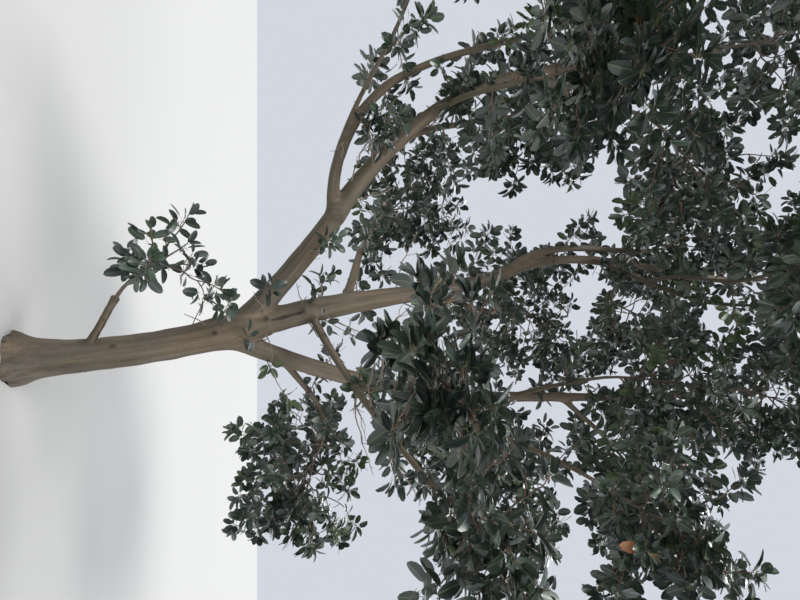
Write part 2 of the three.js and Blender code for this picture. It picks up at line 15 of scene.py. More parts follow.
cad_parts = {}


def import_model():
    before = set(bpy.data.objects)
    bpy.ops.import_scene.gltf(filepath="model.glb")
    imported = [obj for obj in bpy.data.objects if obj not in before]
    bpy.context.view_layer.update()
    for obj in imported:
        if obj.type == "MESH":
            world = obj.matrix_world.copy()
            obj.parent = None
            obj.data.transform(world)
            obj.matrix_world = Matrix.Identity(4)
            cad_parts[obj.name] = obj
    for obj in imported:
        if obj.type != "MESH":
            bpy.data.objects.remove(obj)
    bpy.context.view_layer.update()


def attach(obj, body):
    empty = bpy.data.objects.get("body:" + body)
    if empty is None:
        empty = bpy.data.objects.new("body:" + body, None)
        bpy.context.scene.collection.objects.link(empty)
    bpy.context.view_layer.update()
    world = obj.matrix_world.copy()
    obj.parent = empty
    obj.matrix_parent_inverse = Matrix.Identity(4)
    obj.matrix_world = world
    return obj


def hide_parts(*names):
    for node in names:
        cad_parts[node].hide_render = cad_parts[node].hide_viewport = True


MM = 0.001
UP = np.array([0.0, 0.0, 1.0])
GOLDEN_ANGLE = math.pi * (3 - math.sqrt(5))
TINY = 1e-12
STEEP = 0.9  # the cosine above which two directions count as nearly the same

# The camera stands in front of the tree, held on its side, so the tree's top is at the picture's right.
CAMERA_PLACE = (-0.365, -4.4, 1.5)
CAMERA_PITCH = 12.3  # degrees above the level
CAMERA_LENS = 29.09
CAMERA_SENSOR = 36.0
CAMERA_FAR = 1000  # how far it sees, in metres

# What the solids are grown from.
JOINT_GAP = 0.3
COLLAR_SWELL = 0.3
COLLAR_LENGTH = 0.9
TRUNK_TOP = (-222, 10, 1560)
TRUNK_POINTS = (177, 74)
TRUNK_WAIST = 205
TRUNK_TOP_WIDTH = 178
FLARE_WIDTH = 325
FLARE_HEIGHT = 170
FLARE_CURVE = 1.3
FLARE_LOBES = 5
LOBE_DEPTH = 0.13
LOBE_TURN = 0.6
FORK_SWELL = 0.22
FORK_SHARE = 0.84
FORK_SPREAD = 0.13
SPRAY_SHARE = 0.47
SPRAY_SIZES = (1, 0.8, 0.62, 0.48)
SPRAY_WIDTH = 0.56
SPRAY_WIDEST = 0.56
SPRAY_TESTS = 10
ACROSS_TESTS = 5
SPRAY_APART = 0.42
SPRAY_ROLL = 0.9
SPRAY_SPREAD = (0.8, 1.1)
SPRAY_FLAT = 0.6
TIP_SPREAD = 0.25
SPRAY_RISE = 0.75
SPRAY_DROOP = 0.06
SPRAY_TURN = 2.5
FIRST_SPRAY = 0.4
LAST_SPRAY = 0.9
TWIG_TESTS = 24
TWIG_REACH = 0.85
TWIG_LEAST = 0.86
TWIG_LEAVES = (0.14, 0.97)
TWIG_BEHIND = 0.56
STEM_BEYOND = 0.35
STEM_ROWS = 3
SPACE_MARGIN = 6
LIMB_CLEARANCE = 22
LIMB_TEST_STEP = 20
NEAR_LIMBS = 1.5  # how far from a mass's middle limbs are looked for, as a share of its size
CURVE_STEPS = 200  # that a curve's length is measured in
DRAW_FACTOR = 48271
DRAW_MODULUS = 2147483647
MASS_SEED = 1000
SEED_STEP = 77
LEAF_SEED = 500  # for what only this file draws

# The bark's skin.
VOXEL = 11.5  # the grid that it is first laid on
TRUNK_SIDES = 32  # of the tubes under it
LIMB_SIDES = 16
BELOW_GROUND = 60  # how far those go below the ground, before the skin is cut there
ON_GROUND = 0.5  # a point lower than this stays on the ground
AXIS_STEP = 12  # between the points along a limb's axis that the skin is measured from
POINTS_AT_ONCE = 20000  # measured in one go, to spare memory
SKIN_MARGIN = 40  # the most that a point of the skin is drawn
FILLET = 11  # how softly a limb runs into the one it grows from
LEAST_SHARE = 0.01  # a limb's relief counts where its share of the fillet is more than this
SEAM_WIDTH = 24  # of the strip where the bark patterns of two limbs run into one another
SEAM_FLAT = 1.6  # how strong its middle would be if it weren't cut off at 1, so a part of it counts in full
GRAIN_APART = 700  # between the bark patterns of two limbs
FLUTE_DEPTH = 0.07  # the long swellings, as a share of the limb's radius
FLUTE_SIZE = 55  # how far apart they are round a limb
FLUTE_STRETCH = 0.16  # how fine they are along a limb, as a share of how fine they are round it
LUMP_DEPTH = 0.05
LUMP_SIZE = 120
RIPPLE_DEPTH = 1.1  # small bumps
RIPPLE_SIZE = 16
RIPPLE_STRETCH = 0.4
KNOT_HEIGHT = 0.5  # how far a knot stands out, as a share of its size
KNOT_SCAR = 0.42  # the share of that height where its dark scar starts
SPLIT_WAVE = 17  # how long the waves in a split's edges are, and how far they stand out
SPLIT_WAVER = 0.15
SPLIT_EDGE = 8  # how wide the slope into a split is
STUB = "low_stub"  # it is broken off, so its end has a knob with a hollow in it
HOLLOW_DEPTH = 0.55  # as a share of the stub's radius
HOLLOW_FACING = 0.7
HOLLOW_EDGE = 0.12
KNOB_SWELL = 0.22
KNOB_LENGTH = 26

# The finer twigs that fill a mass between its main ones.
INNER_TWIGS = 13
INNER_TURN = 1  # how far they are turned from those
INNER_REACH = (0.4, 1.02)  # how far out they end, as a share of the main ones' reach
INNER_SPRAYS = 3
INNER_SIZES = (0.8, 0.62, 0.48)
INNER_APART = 0.31

# The tubes of twigs, in points along them and sides, with their radii.
STEM_TUBE = (9, 8)
TWIG_TUBE = (9, 6)
SPRAY_TUBE = (6, 5)
SHOOT_TUBE = (3, 4)
BARE_TUBE = (4, 4)
THREAD_TUBE = (4, 3)
CAP_LENGTH = 0.6  # of a tube's pointed end, as a share of its radius
STEM_WIDEST = 13
STEM_TAPER = 0.8
STEM_BURY = 45  # how far a mass's stem starts inside its limb
STEM_FOOT = 0.9  # and how wide there, as a share of the limb's tip
STEM_TIP = 3.2
TWIG_FOOT = 7.5
TWIG_TIP = 3.6
SPRAY_FOOT = 4.0
SHOOT_FOOT = 2.8
SHOOT_TIP = 1.9
THREAD_RADII = (1.3, 0.8)
BARE_FOOT = 5.6
BARE_TIP = 2.1

# How twigs run.
WAVES = 3  # half waves along a twig, and their size as a share of its length
WAVE_SIZE = 0.022
UPTURN = 0.35  # how much a twig's end turns up
TWIG_LEAVING = 0.5  # how far a twig has turned its own way where it leaves the stem, and a spray its twig
SPRAY_LEAVING = 0.6
SPRAY_END = 55  # a spray's own axis ends this far inside its tip, and its leaves fill the rest
SHOOT_STEP = 78  # between one side shoot of a spray and the next
SHOOT_PLACE = (0.55, 0.85)  # where within its step each one is
SHOOT_CLEAR = 100  # the part of a spray's axis at its foot that has none
SHOOT_LOWEST = 0.12  # the lowest that one leaves the axis, as a share of it
SHOOT_SPREAD = 0.85  # its angle to the spray's axis, in radians, and how much that varies
SHOOT_TURN = 0.2
SHOOT_LENGTH = 0.62  # its length, as a share of the spray's half width there, with room for its leaves
SHOOT_VARIES = (0.85, 1.25)
SHOOT_LEAST = 38  # the shortest
SHOOT_RISE = (-0.1, 0.45)
SHOOT_UPTURN = (0.2, 0.9)
SHOOT_SLACK = 15  # how far past its mass's outline its tip may be
SHOOT_CLEARANCE = 25  # and how near to a limb
BARE_STEP = 58  # between the bends of a bare twig, and the fewest
BARE_BENDS = 4
CROOK = 0.24  # how far one of its bends is moved aside, as a share of that
BARE_SHOOTS = 0.6  # the share of its bends that bear a shoot
BARE_SPREAD = 0.7  # how much these spread, rise and bend, how long they are, and how their widths shrink
BARE_RISE = 0.45
BARE_CROOK = 0.09
BARE_REACH = (0.2, 0.5)
BARE_TAPER = (0.7, 0.8)
DRY_SHARE = 0.03  # the share of rosettes with withered flower stalks, and how those stand and curl
DRY_THREADS = 6
DRY_LENGTH = (45, 85)
DRY_RISE = 0.5
DRY_SPREAD = 0.35
DRY_CURL = (0, 0.9)

# A leaf's outline: how far along it, and how wide there, as shares of its length and of half its width.
LEAF_OUTLINE = ((0.17, 0.74), (0.52, 1.0), (0.86, 0.68))
FINE_OUTLINE = ((0.07, 0.45), (0.24, 0.85), (0.5, 1.0), (0.75, 0.87), (0.93, 0.5))
FINE_LEAVES = ("left_front", "centre_front", "right_front", "low_shoot")  # the masses with the finer outline
MIDRIB = 0.04  # half the midrib's width, as a share of half the leaf's
LEAF_LENGTH = 86
LEAF_WIDTH = 0.6
LEAF_GROWTH = (0.72, 1.05)  # the size of a rosette's highest and lowest leaves, and how much each one varies
LEAF_VARIES = (0.8, 1.22)
LEAF_FOLD = (0.08, 0.42)
LEAF_BEND = (-0.05, 0.32)
PETIOLE = 23
PETIOLE_RADIUS = 1.1
PETIOLE_FOLD = 0.6
PETIOLE_TAPER = 0.8
PETIOLE_UNDER = 2  # how far it goes on under the blade, as a share of its radius

# How a rosette's leaves stand.
ROSETTE_LEAVES = (6, 10)
ROSETTE_STACK = 42  # how far down the shoot the lowest one sits
LEAF_TILT = (0.5, 1.5)  # the highest and lowest ones' angle to the shoot, in radians
TILT_CURVE = 0.8
LEAF_HANG = (0, 0.45)  # how much the lowest ones hang
LEAF_LEVEL = (0.1, 1.1)  # how far the blades turn up to the sky
AXIS_STRAYS = 0.18  # how far a rosette's axis strays, and a leaf's turn, tilt, face and shade
TURN_STRAYS = 0.25
TILT_STRAYS = 0.16
FACE_STRAYS = 0.28
SHADE_STRAYS = 0.05
# How much flatter the leaves lie in the masses that hold them out level in front.
FLAT_LEAVES = {"left_front": 0.9, "left_low": 0.5, "centre_front": 0.9, "right_front": 0.55}
FLAT_LEVEL = 1.4
FLAT_SQUEEZE = 0.65
# The masses whose leaves stand further apart along the shoots, and how much further and fewer.
LOOSE_LEAVES = ("right_front", "low_shoot")
LOOSE_STACK = 1.3
LOOSE_FEWER = 2

# The looks of twigs and leaves: the dark and the pale colour, the roughness, and a twig's mottle's scale.
TWIG_LOOKS = (
    ("twig_bark", (0.085, 0.065, 0.048), (0.190, 0.148, 0.112), 0.7, 60),
    ("young_shoot", (0.115, 0.062, 0.042), (0.225, 0.135, 0.09), 0.55, 90),
    ("dry_panicle", (0.30, 0.20, 0.11), (0.46, 0.34, 0.19), 0.8, 90),
    ("dead_twig", (0.165, 0.132, 0.104), (0.315, 0.265, 0.215), 0.85, 70),
)
TWIG_KIND, SHOOT_KIND, DRY_KIND, DEAD_KIND = range(4)
LEAF_LOOKS = (
    # These two greens are the leaves' dark green, made bluer and greyer partly to paint the sky's sheen on
    # their gloss.
    ("leaf_dark_sheen", (0.024, 0.038, 0.032), (0.039, 0.060, 0.048), 0.32),
    ("leaf_green_sheen", (0.031, 0.052, 0.035), (0.050, 0.081, 0.050), 0.34),
    # This yellow-green is young leaves' colour and partly a painted glow of leaves lit from behind.
    ("leaf_young_and_backlit", (0.046, 0.080, 0.032), (0.073, 0.118, 0.043), 0.38),
    ("leaf_old", (0.30, 0.105, 0.045), (0.42, 0.185, 0.075), 0.5),
    ("midrib", (0.155, 0.190, 0.085), (0.225, 0.262, 0.118), 0.45),
)
OLD_KIND, MIDRIB_KIND = 3, 4
SHADE_STEPS = (0.55, 0.93)  # shares of sprays that are of the darkest green, and of the two darker ones
STEM_SHADE = 0.3  # of the leaves at a stem's own tip
OLD_SHARE = 0.004  # the share of old leaves among those low in a rosette, and how low that is
OLD_DEPTH = 0.8
TWIG_MOTTLE = (0.35, 0.65)  # where on a mottle's noise the dark colour ends, and where the pale one starts
LEAF_MOTTLE = (0.36, 0.64)
LEAF_MOTTLE_SCALE = 14
VEIN_SCALE = 160
LEAF_GLOSS = (-0.08, 0.1)  # how far a leaf's roughness varies with its veins
LEAF_COAT = {"Coat Weight": 0.6, "Coat Roughness": 0.24}
# The fine bumps: how strong each is, and how high in metres.
TWIG_BUMP = (0.4, 0.001)
LEAF_BUMP = (0.25, 0.0012)
STREAK_BUMP = (0.4, 0.006)
SPECK_BUMP = (0.3, 0.002)

# The bark's noises: how fine each is along a limb as a share of round it, its scale, detail and roughness.
BARK_NOISES = {
    "streaks": (0.045, 30, 5, 0.5),
    "patches": (0.25, 6, 4, 0.55),
    "moss": (0.3, 9, 5, 0.65),
    "hairs": (0.03, 120, 3, 0.6),
    "specks": (0.35, 190, 4, 0.7),
}
BARK_ROUGHNESS = (0.82, 0.56)  # from its dark streaks to its pale ones
# These browns are the bark's grey-brown, kept darker partly to paint the shade that the crown casts over it.
BARK_BROWNS_WITH_SHADE = ((0.30, (0.106, 0.084, 0.061)), (0.48, (0.144, 0.117, 0.086)), (0.72, (0.198, 0.164, 0.125)))
# What the browns are multiplied by: the noise, how strongly it counts, and its tints.
BARK_LAYERS = (
    ("patches", 0.85, ((0.38, (0.74, 0.73, 0.72)), (0.5, (1.0, 0.96, 0.92)), (0.64, (1.28, 1.12, 1.0)))),
    ("moss", 0.8, ((0.46, (1.0, 1.0, 1.0)), (0.68, (0.86, 0.90, 0.70)))),
    ("hairs", 0.5, ((0.34, (0.70, 0.68, 0.66)), (0.46, (1.0, 1.0, 1.0)), (0.66, (1.14, 1.12, 1.10)))),
    ("specks", 0.55, ((0.36, (0.66, 0.64, 0.62)), (0.52, (1.0, 1.0, 1.0)), (0.68, (1.22, 1.2, 1.15)))),
)
# The old round scars: their scale, stretch and strength, and their tints from the middle out.
SCAR_SCALE = 5.5
SCAR_STRETCH = 0.6
SCAR_STRENGTH = 0.9
SCAR_TINTS = ((0.05, (0.42, 0.40, 0.38)), (0.11, (1.12, 1.1, 1.06)), (0.16, (1.0, 1.0, 1.0)))
# Painted shade on the bark's undersides, tinted olive for moss: where the surface faces down it turns this
# dark olive.
UNDERSIDE_SHADE_AND_MOSS_COLOUR = (0.048, 0.050, 0.028, 1)
UNDERSIDE_FACING = (-0.15, -0.85)
UNDERSIDE_MOST = 1.15
# Near-black painted shade in the splits and the stub's hollow, and the dark colour of the knots' scars.
SHADE_AND_SCAR_COLOUR = (0.022, 0.017, 0.011, 1)

FLOOR_SIZE = 500000
FLOOR_COLOUR = (0.52, 0.51, 0.49, 1)
FLOOR_ROUGHNESS = 0.9
WORLD_COLOUR = (0.86, 0.91, 1.0, 1)
WORLD_LIGHT = 0.75
# The lamps, like distant soft boxes: each one's heading and height in degrees, its strength, and how many
# degrees wide it is.
LIGHTS = (
    ("key", 236, 52, 2.3, 24),
    ("fill", 320, 30, 0.7, 40),
    ("rim", 70, 46, 1.2, 30),
)

# The limbs: what each leaves and where, its heading and rise there, its tip, how it points there, and its
# widths.
LIMBS = (
    ("left_bough", "trunk", 0.87, (183, 42), (-985, -140, 2035), (187, 33), (150, 132)),
    ("left_rising_limb", "left_bough", 1, (187, 33), (-1690, -440, 2800), (200, 62), (126, 78)),
    ("left_upright_limb", "left_rising_limb", 1, (200, 62), (-2030, -640, 4480), (205, 72), (74, 40)),
    ("left_side_limb", "left_bough", 0.93, (195, -14), (-1770, -390, 2360), (203, 58), (84, 56)),
    ("left_outer_limb", "left_side_limb", 1, (203, 58), (-2080, -500, 3230), (200, 72), (54, 34)),
    ("left_twin_limb", "left_rising_limb", 0.5, (165, 58), (-1700, 150, 3080), (130, 52), (56, 34)),
    ("left_front_limb", "left_rising_limb", 0.78, (262, 22), (-1500, -1250, 2850), (278, 24), (44, 26)),
    ("centre_bough", "trunk", 1, (177, 74), (-610, 500, 3520), (140, 66), (172, 84)),
    ("centre_left_arm", "centre_bough", 0.95, (160, 46), (-800, 760, 4900), (110, 80), (66, 38)),
    ("centre_right_arm", "centre_bough", 1, (140, 66), (-560, 850, 6150), (120, 80), (78, 40)),
    ("front_top_limb", "centre_right_arm", 0.3, (300, 52), (-330, -150, 4980), (275, 52), (48, 30)),
    ("back_left_limb", "centre_bough", 0.26, (150, 22), (-1010, 990, 2480), (135, 34), (70, 36)),
    ("back_limb", "centre_bough", 0.62, (75, 36), (-260, 1260, 3600), (84, 48), (64, 36)),
    ("right_bough", "trunk", 0.8, (8, 66), (385, 330, 3280), (75, 80), (126, 82)),
    ("right_upright_limb", "right_bough", 1, (75, 80), (440, 620, 5620), (120, 82), (80, 40)),
    ("right_side_limb", "right_bough", 0.86, (5, 36), (830, 480, 3240), (20, 30), (46, 30)),
    ("right_near_limb", "right_bough", 0.7, (318, 40), (690, -780, 3420), (292, 32), (48, 28)),
    ("right_top_limb", "right_upright_limb", 0.26, (350, 44), (800, 440, 4310), (350, 40), (48, 30)),
    ("right_low_limb", "right_bough", 0.2, (38, 26), (620, 560, 1990), (30, 4), (52, 32)),
    ("back_right_limb", "right_bough", 0.52, (70, 34), (640, 1220, 3080), (58, 36), (54, 32)),
    ("front_limb", "centre_bough", 0.14, (310, 14), (430, -1480, 2230), (282, 8), (56, 28)),
    ("front_side_limb", "front_limb", 0.5, (262, 14), (-40, -1700, 2140), (256, 0), (26, 18)),
    ("left_low_limb", "left_side_limb", 0.42, (190, 8), (-2060, -640, 2330), (196, 20), (34, 24)),
    ("left_inner_limb", "left_upright_limb", 0.3, (20, 40), (-1580, -420, 4180), (25, 62), (40, 26)),
    ("front_high_limb", "front_top_limb", 0.45, (252, 12), (-520, -880, 4640), (255, 10), (34, 24)),
    ("back_top_limb", "centre_right_arm", 0.42, (70, 42), (-330, 1480, 4980), (72, 50), (44, 28)),
    ("right_inner_limb", "right_upright_limb", 0.06, (240, 46), (215, -50, 3900), (250, 52), (42, 26)),
    ("low_stub", "trunk", 0.25, (205, 40), (-375, -310, 670), (218, 30), (58, 44)),
)

# The splits in the wood: the run of limbs, named by its first, the lowest and highest point, the way each
# faces, half its width in radians round the limb, and its depth as a share of the radius.
SPLITS = (
    ("low_stub", 430, 720, (0.0, -0.5, 0.85), 0.62, 0.3),
    ("trunk", 1560, 1800, (-0.03, -1.0, 0.0), 0.19, 0.17),
)

# The knots round the fork: the run of limbs, the height, the heading that each faces, and its size.
KNOTS = (
    ("trunk", 1788, 262, 27),
    ("trunk", 1545, 256, 30),
    ("trunk", 1223, 262, 24),
)

# The masses of foliage: the limb each grows from, its middle, half its width, depth and height, its main
# twigs and the sprays on each, and the share of the finer twigs and side shoots that it has.
MASSES = (
    ("left_crown", "left_upright_limb", (-2130, -620, 5210), (880, 860, 820), 6, 4, 1),
    ("left_outer", "left_outer_limb", (-2340, -560, 3780), (760, 760, 740), 6, 4, 1),
    ("left_front", "left_front_limb", (-1500, -1720, 3080), (720, 640, 600), 6, 3, 1),
    ("left_back", "left_twin_limb", (-1840, 560, 3600), (820, 780, 780), 6, 4, 1),
    ("back_left", "back_left_limb", (-1310, 1420, 2830), (860, 800, 740), 6, 4, 1),
    ("centre_left", "centre_left_arm", (-1020, 850, 5400), (860, 880, 860), 6, 4, 1),
    ("centre_crown", "centre_right_arm", (-620, 800, 6760), (900, 880, 800), 6, 4, 1),
    ("front_crown", "front_top_limb", (-330, -620, 5520), (880, 800, 760), 6, 4, 1),
    ("back", "back_limb", (-230, 1640, 4130), (980, 900, 920), 6, 4, 1),
    ("back_right", "back_right_limb", (900, 1620, 3420), (800, 760, 740), 6, 4, 1),
    ("right_crown", "right_upright_limb", (560, 620, 6130), (900, 880, 800), 6, 4, 1),
    ("right_top", "right_top_limb", (1160, 400, 4640), (820, 840, 800), 6, 4, 1),
    ("right_side", "right_side_limb", (1200, 480, 3400), (780, 800, 800), 6, 4, 1),
    ("right_near", "right_near_limb", (880, -1230, 3700), (620, 640, 620), 6, 3, 1),
    ("right_low", "right_low_limb", (1060, 830, 1820), (820, 760, 740), 6, 4, 1),
    ("right_front", "front_limb", (560, -1960, 2380), (520, 540, 420), 6, 3, 0.75),
    ("centre_front", "front_side_limb", (-130, -2160, 2130), (480, 500, 330), 6, 3, 0.8),
    ("left_low", "left_low_limb", (-2560, -740, 2560), (560, 560, 480), 5, 3, 1),
    ("left_inner", "left_inner_limb", (-1300, -300, 4560), (760, 740, 760), 6, 3, 1),
    ("front_high", "front_high_limb", (-600, -1340, 4700), (700, 640, 620), 6, 3, 1),
    ("back_top", "back_top_limb", (-200, 1760, 5450), (900, 880, 880), 6, 4, 1),
    ("low_shoot", "low_stub", (-590, -680, 1010), (380, 420, 440), 4, 3, 0.12),
    ("right_inner", "right_inner_limb", (240, -220, 4420), (780, 700, 760), 6, 3, 1),
)
# The leafy shoots that stand straight on the limbs. They grow with one mass. In the crown they are this far
# apart, from where each limb's bare part ends, and each turns on from the last by the golden angle.
SPROUTS_WITH = "low_shoot"
SPROUT_STEP = 190
SPROUT_LEAFY = 0.6  # the share of side shoots that those near the fork have
SPROUT_REACH = (250, 470)
SPROUT_RISE = (4, 36)
SPROUT_TURN = 18  # how far each one's tip turns up
BARE_PART = 0.3
BARE_PARTS = {
    "trunk": 1,
    "left_bough": 1,
    "low_stub": 1,
    "centre_bough": 0.66,
    "right_bough": 0.7,
    "left_rising_limb": 0.6,
    "left_side_limb": 0.7,
    "front_limb": 0.42,
    "right_low_limb": 0.5,
}
# Those near the fork: the limb, where along it, the heading, the rise at the foot and the tip, and the reach.
FORK_SPROUTS = (
    ("trunk", 0.66, 196, 18, 34, 330),
    ("trunk", 0.79, 236, 4, 22, 300),
    ("trunk", 0.84, 285, 24, 42, 170),
    ("centre_bough", 0.12, 214, 20, 38, 290),
    ("centre_bough", 0.15, 300, 28, 46, 330),
    ("left_bough", 0.3, 262, -10, 10, 240),
    ("left_bough", 0.62, 250, 24, 42, 260),
    ("right_bough", 0.14, 338, 16, 34, 330),
)
# The bare dead twigs, given in the same way. Several stand at the fork and under the front leaves.
DEAD_TWIGS = (
    ("centre_bough", 0.115, 236, 62, -50, 330),
    ("centre_bough", 0.115, 222, -4, -16, 190),
    ("centre_bough", 0.115, 312, 14, 36, 260),
    ("centre_bough", 0.165, 318, 44, 64, 380),
    ("trunk", 0.99, 228, -4, -24, 200),
    ("trunk", 0.99, 318, 4, 12, 230),
    ("trunk", 0.78, 232, -24, -58, 180),
    ("front_limb", 0.46, 190, 24, 52, 690),
    ("front_limb", 0.53, 200, 34, 72, 290),
    ("front_limb", 0.48, 12, 4, 24, 560),
    ("left_bough", 0.5, 118, 32, 48, 330),
    ("left_rising_limb", 0.04, 128, 74, 36, 470),
    ("left_rising_limb", 0.09, 212, -6, 66, 600),
    ("left_rising_limb", 0.42, 236, -22, 24, 420),
    ("left_side_limb", 0.84, 344, -24, 14, 520),
    ("front_limb", 0.62, 216, -14, 26, 430),
    ("front_limb", 0.7, 330, 6, 40, 460),
    ("front_side_limb", 0.3, 168, 10, 40, 360),
    ("left_side_limb", 0.5, 300, -18, 2, 280),
    ("centre_bough", 0.45, 196, 6, 24, 420),
    ("right_bough", 0.45, 350, 0, 20, 380),
    ("right_low_limb", 0.45, 330, -28, -8, 300),
    ("centre_right_arm", 0.35, 70, 14, 32, 380),
    ("left_upright_limb", 0.3, 120, 8, 26, 360),
)
# The masses whose leaves are joined into one piece, and whose twigs are into another.
LEAF_GROUPS = {
    "leaves_left_top": ("left_crown", "centre_left", "left_inner"),
    "leaves_left_low": ("left_outer", "left_front", "left_back", "left_low"),
    "leaves_top": ("centre_crown", "right_crown", "back_top"),
    "leaves_front": ("front_crown", "front_high", "centre_front", "right_front", "right_near"),
    "leaves_low": ("low_shoot",),
    "leaves_right": ("right_top", "right_side", "right_low", "right_inner"),
    "leaves_back": ("back_left", "back", "back_right"),
}


def seeded(seed):
    """A seeded run of numbers from 0 to 1, the same as the solids draw."""
    state = seed

    def draw():
        nonlocal state
        state = state * DRAW_FACTOR % DRAW_MODULUS
        return state / DRAW_MODULUS

    return draw


def unit(v):
    return v / np.linalg.norm(v)


def units(v):
    return v / np.linalg.norm(v, axis=-1, keepdims=True)


def lerp(a, b, share):
    return a + (b - a) * share


def direction(angles):
    """The unit vector of a heading and a rise, in degrees."""
    heading, rise = (math.radians(angle) for angle in angles)
    flat = math.cos(rise)
    return np.array([math.cos(heading) * flat, math.sin(heading) * flat, math.sin(rise)])


def turned(v, axis, angle):
    """v turned about a unit axis."""
    flat = math.cos(angle)
    return v * flat + np.cross(axis, v) * math.sin(angle) + axis * (axis @ v) * (1 - flat)


class Curve:
    """A cubic curve from one point to another that leaves and arrives in given directions."""

    def __init__(self, start, leaves, end, arrives):
        handle = np.linalg.norm(end - start) / 3
        self.points = np.array([start, start + leaves * handle, end - arrives * handle, end])
        self.wave = np.zeros(3)

    def at(self, share):
        s = np.asarray(share, float)[..., None]
        a, b, c, d = self.points
        plain = a * (1 - s) ** 3 + 3 * b * s * (1 - s) ** 2 + 3 * c * s**2 * (1 - s) + d * s**3
        return plain + self.wave * np.sin(WAVES * math.pi * s)

    def wavy(self, rng):
        """The same curve with a few soft bends in it."""
        self.wave = rng.normal(0, WAVE_SIZE, 3) * np.linalg.norm(self.points[3] - self.points[0])
        return self

    def along(self, share):
        s = np.asarray(share, float)[..., None]
        a, b, c, d = self.points
        return units((b - a) * (1 - s) ** 2 + (c - b) * 2 * s * (1 - s) + (d - c) * s**2)

    def length(self):
        return np.linalg.norm(np.diff(self.at(np.linspace(0, 1, CURVE_STEPS + 1)), axis=0), axis=1).sum()


def axis_point(curve, rows, share):
    """A point on a curve that is taken as straight within each of so many rows."""
    row = min(int(share * rows), rows - 1)
    return lerp(curve.at(row / rows), curve.at((row + 1) / rows), share * rows - row)


def root_flare(height):
    """How much of the root flare is left at a height."""
    return np.exp(-((np.maximum(height, 0) / FLARE_HEIGHT) ** FLARE_CURVE))


def trunk_ridges(height, angle):
    """The ridges that stand out round the root flare."""
    return 1 + LOBE_DEPTH * root_flare(height) * np.cos(FLARE_LOBES * angle + LOBE_TURN)


def trunk_radius(share):
    """The root flare, the long waist, and the swelling under the fork."""
    swell = 1 + FORK_SWELL * np.exp(-(((share - FORK_SHARE) / FORK_SPREAD) ** 2))
    plain = lerp(TRUNK_WAIST, TRUNK_TOP_WIDTH, share**2) / 2
    return plain * swell + (FLARE_WIDTH / 2 - plain) * root_flare(share * TRUNK_TOP[2])


def limb_radius(widths, length, joins_sideways):
    """Swollen at its collar, then tapering to its tip."""
    foot, tip = widths

    def radius(share):
        swell = COLLAR_SWELL * np.exp(-share * length / (COLLAR_LENGTH * foot)) if joins_sideways else 0
        return lerp(foot, tip, share) / 2 * (1 + swell)

    return radius


def grow_limbs():
    """Every limb's curve and radius, worked out from its parent."""
    curve = Curve(np.zeros(3), UP, np.array(TRUNK_TOP, float), direction(TRUNK_POINTS))
    limbs = {"trunk": {"curve": curve, "radius": trunk_radius, "length": curve.length()}}
    for name, parent, share, leaves, tip, points, widths in LIMBS:
        foot = limbs[parent]["curve"].at(share)
        start = limbs[parent]["curve"].along(1) if share == 1 else direction(leaves)
        curve = Curve(foot, start, np.array(tip, float), direction(points))
        length = curve.length()
        limbs[name] = {"curve": curve, "radius": limb_radius(widths, length, share < 1), "length": length}
    return limbs


def limb_steps(limb, step):
    """Points along a limb's axis, at most a step apart, and the radius at each."""
    shares = np.linspace(0, 1, math.ceil(limb["length"] / step) + 1)
    return limb["curve"].at(shares), np.broadcast_to(limb["radius"](shares), shares.shape)


def limb_points(limbs):
    """Closely spaced points on every limb's axis, each with its radius, as the solids are tested against."""
    steps = [limb_steps(limb, LIMB_TEST_STEP) for limb in limbs.values()]
    return [np.concatenate(part) for part in zip(*steps)]


def limb_gap(points, near):
    """The least gap between some points and the limbs near them."""
    middles, radii = near
    if not len(middles):
        return math.inf
    return (np.linalg.norm(np.atleast_2d(points)[:, None] - middles, axis=2) - radii).min()


def place_masses(limbs):
    """Every mass, with the limbs near it and the planes that part it from its neighbours."""
    middles, radii = limb_points(limbs)
    masses = []
    for index, (name, limb, centre, half, twigs, sprays, leafy) in enumerate(MASSES):
        centre, size = np.array(centre, float), sum(half) / 3
        near = np.linalg.norm(middles - centre, axis=1) < size * NEAR_LIMBS
        mass = {"name": name, "index": index, "limb": limbs[limb], "near": (middles[near], radii[near])}
        mass |= {"centre": centre, "reach": np.array(half, float), "size": size}
        masses.append(mass | {"twigs": twigs, "sprays": sprays, "leafy": leafy})
    for mass in masses:
        towards, limits = [], []
        for other in masses:
            apart = other["centre"] - mass["centre"]
            distance = np.linalg.norm(apart)
            if other is mass or distance > mass["size"] + other["size"]:
                continue
            towards.append(apart / distance)
            squares = distance**2 + mass["size"] ** 2 - other["size"] ** 2
            limits.append(squares / (2 * distance) - SPACE_MARGIN)
        mass["towards"] = np.array(towards).reshape(-1, 3)
        mass["limits"] = np.array(limits)
    return masses


def in_space(points, mass, slack=0.0):
    """Whether each point is inside a mass's rounded outline, and on its side of the planes round it."""
    off = np.atleast_2d(points) - mass["centre"]
    inside = ((off / (mass["reach"] + slack)) ** 2).sum(axis=1) <= 1
    return inside & (off @ mass["towards"].T < mass["limits"] + slack).all(axis=1)


def spray_taper(place):
    """A spray's width at a share of its length, as a share of its widest."""
    return np.where(place < SPRAY_WIDEST, place / SPRAY_WIDEST, (1 - place) / (1 - SPRAY_WIDEST))


def spray_points(spray):
    """Points spread over a spray's outline, for testing where it lies."""
    forward = np.arange(1, SPRAY_TESTS + 1) / SPRAY_TESTS
    across = np.linspace(-1, 1, ACROSS_TESTS) * spray_taper(forward)[:, None]
    sideways = across * SPRAY_WIDTH * spray["length"] / 2
    ahead = forward[:, None, None] * spray["length"] * spray["along"]
    return (spray["root"] + ahead + sideways[..., None] * spray["across"]).reshape(-1, 3)


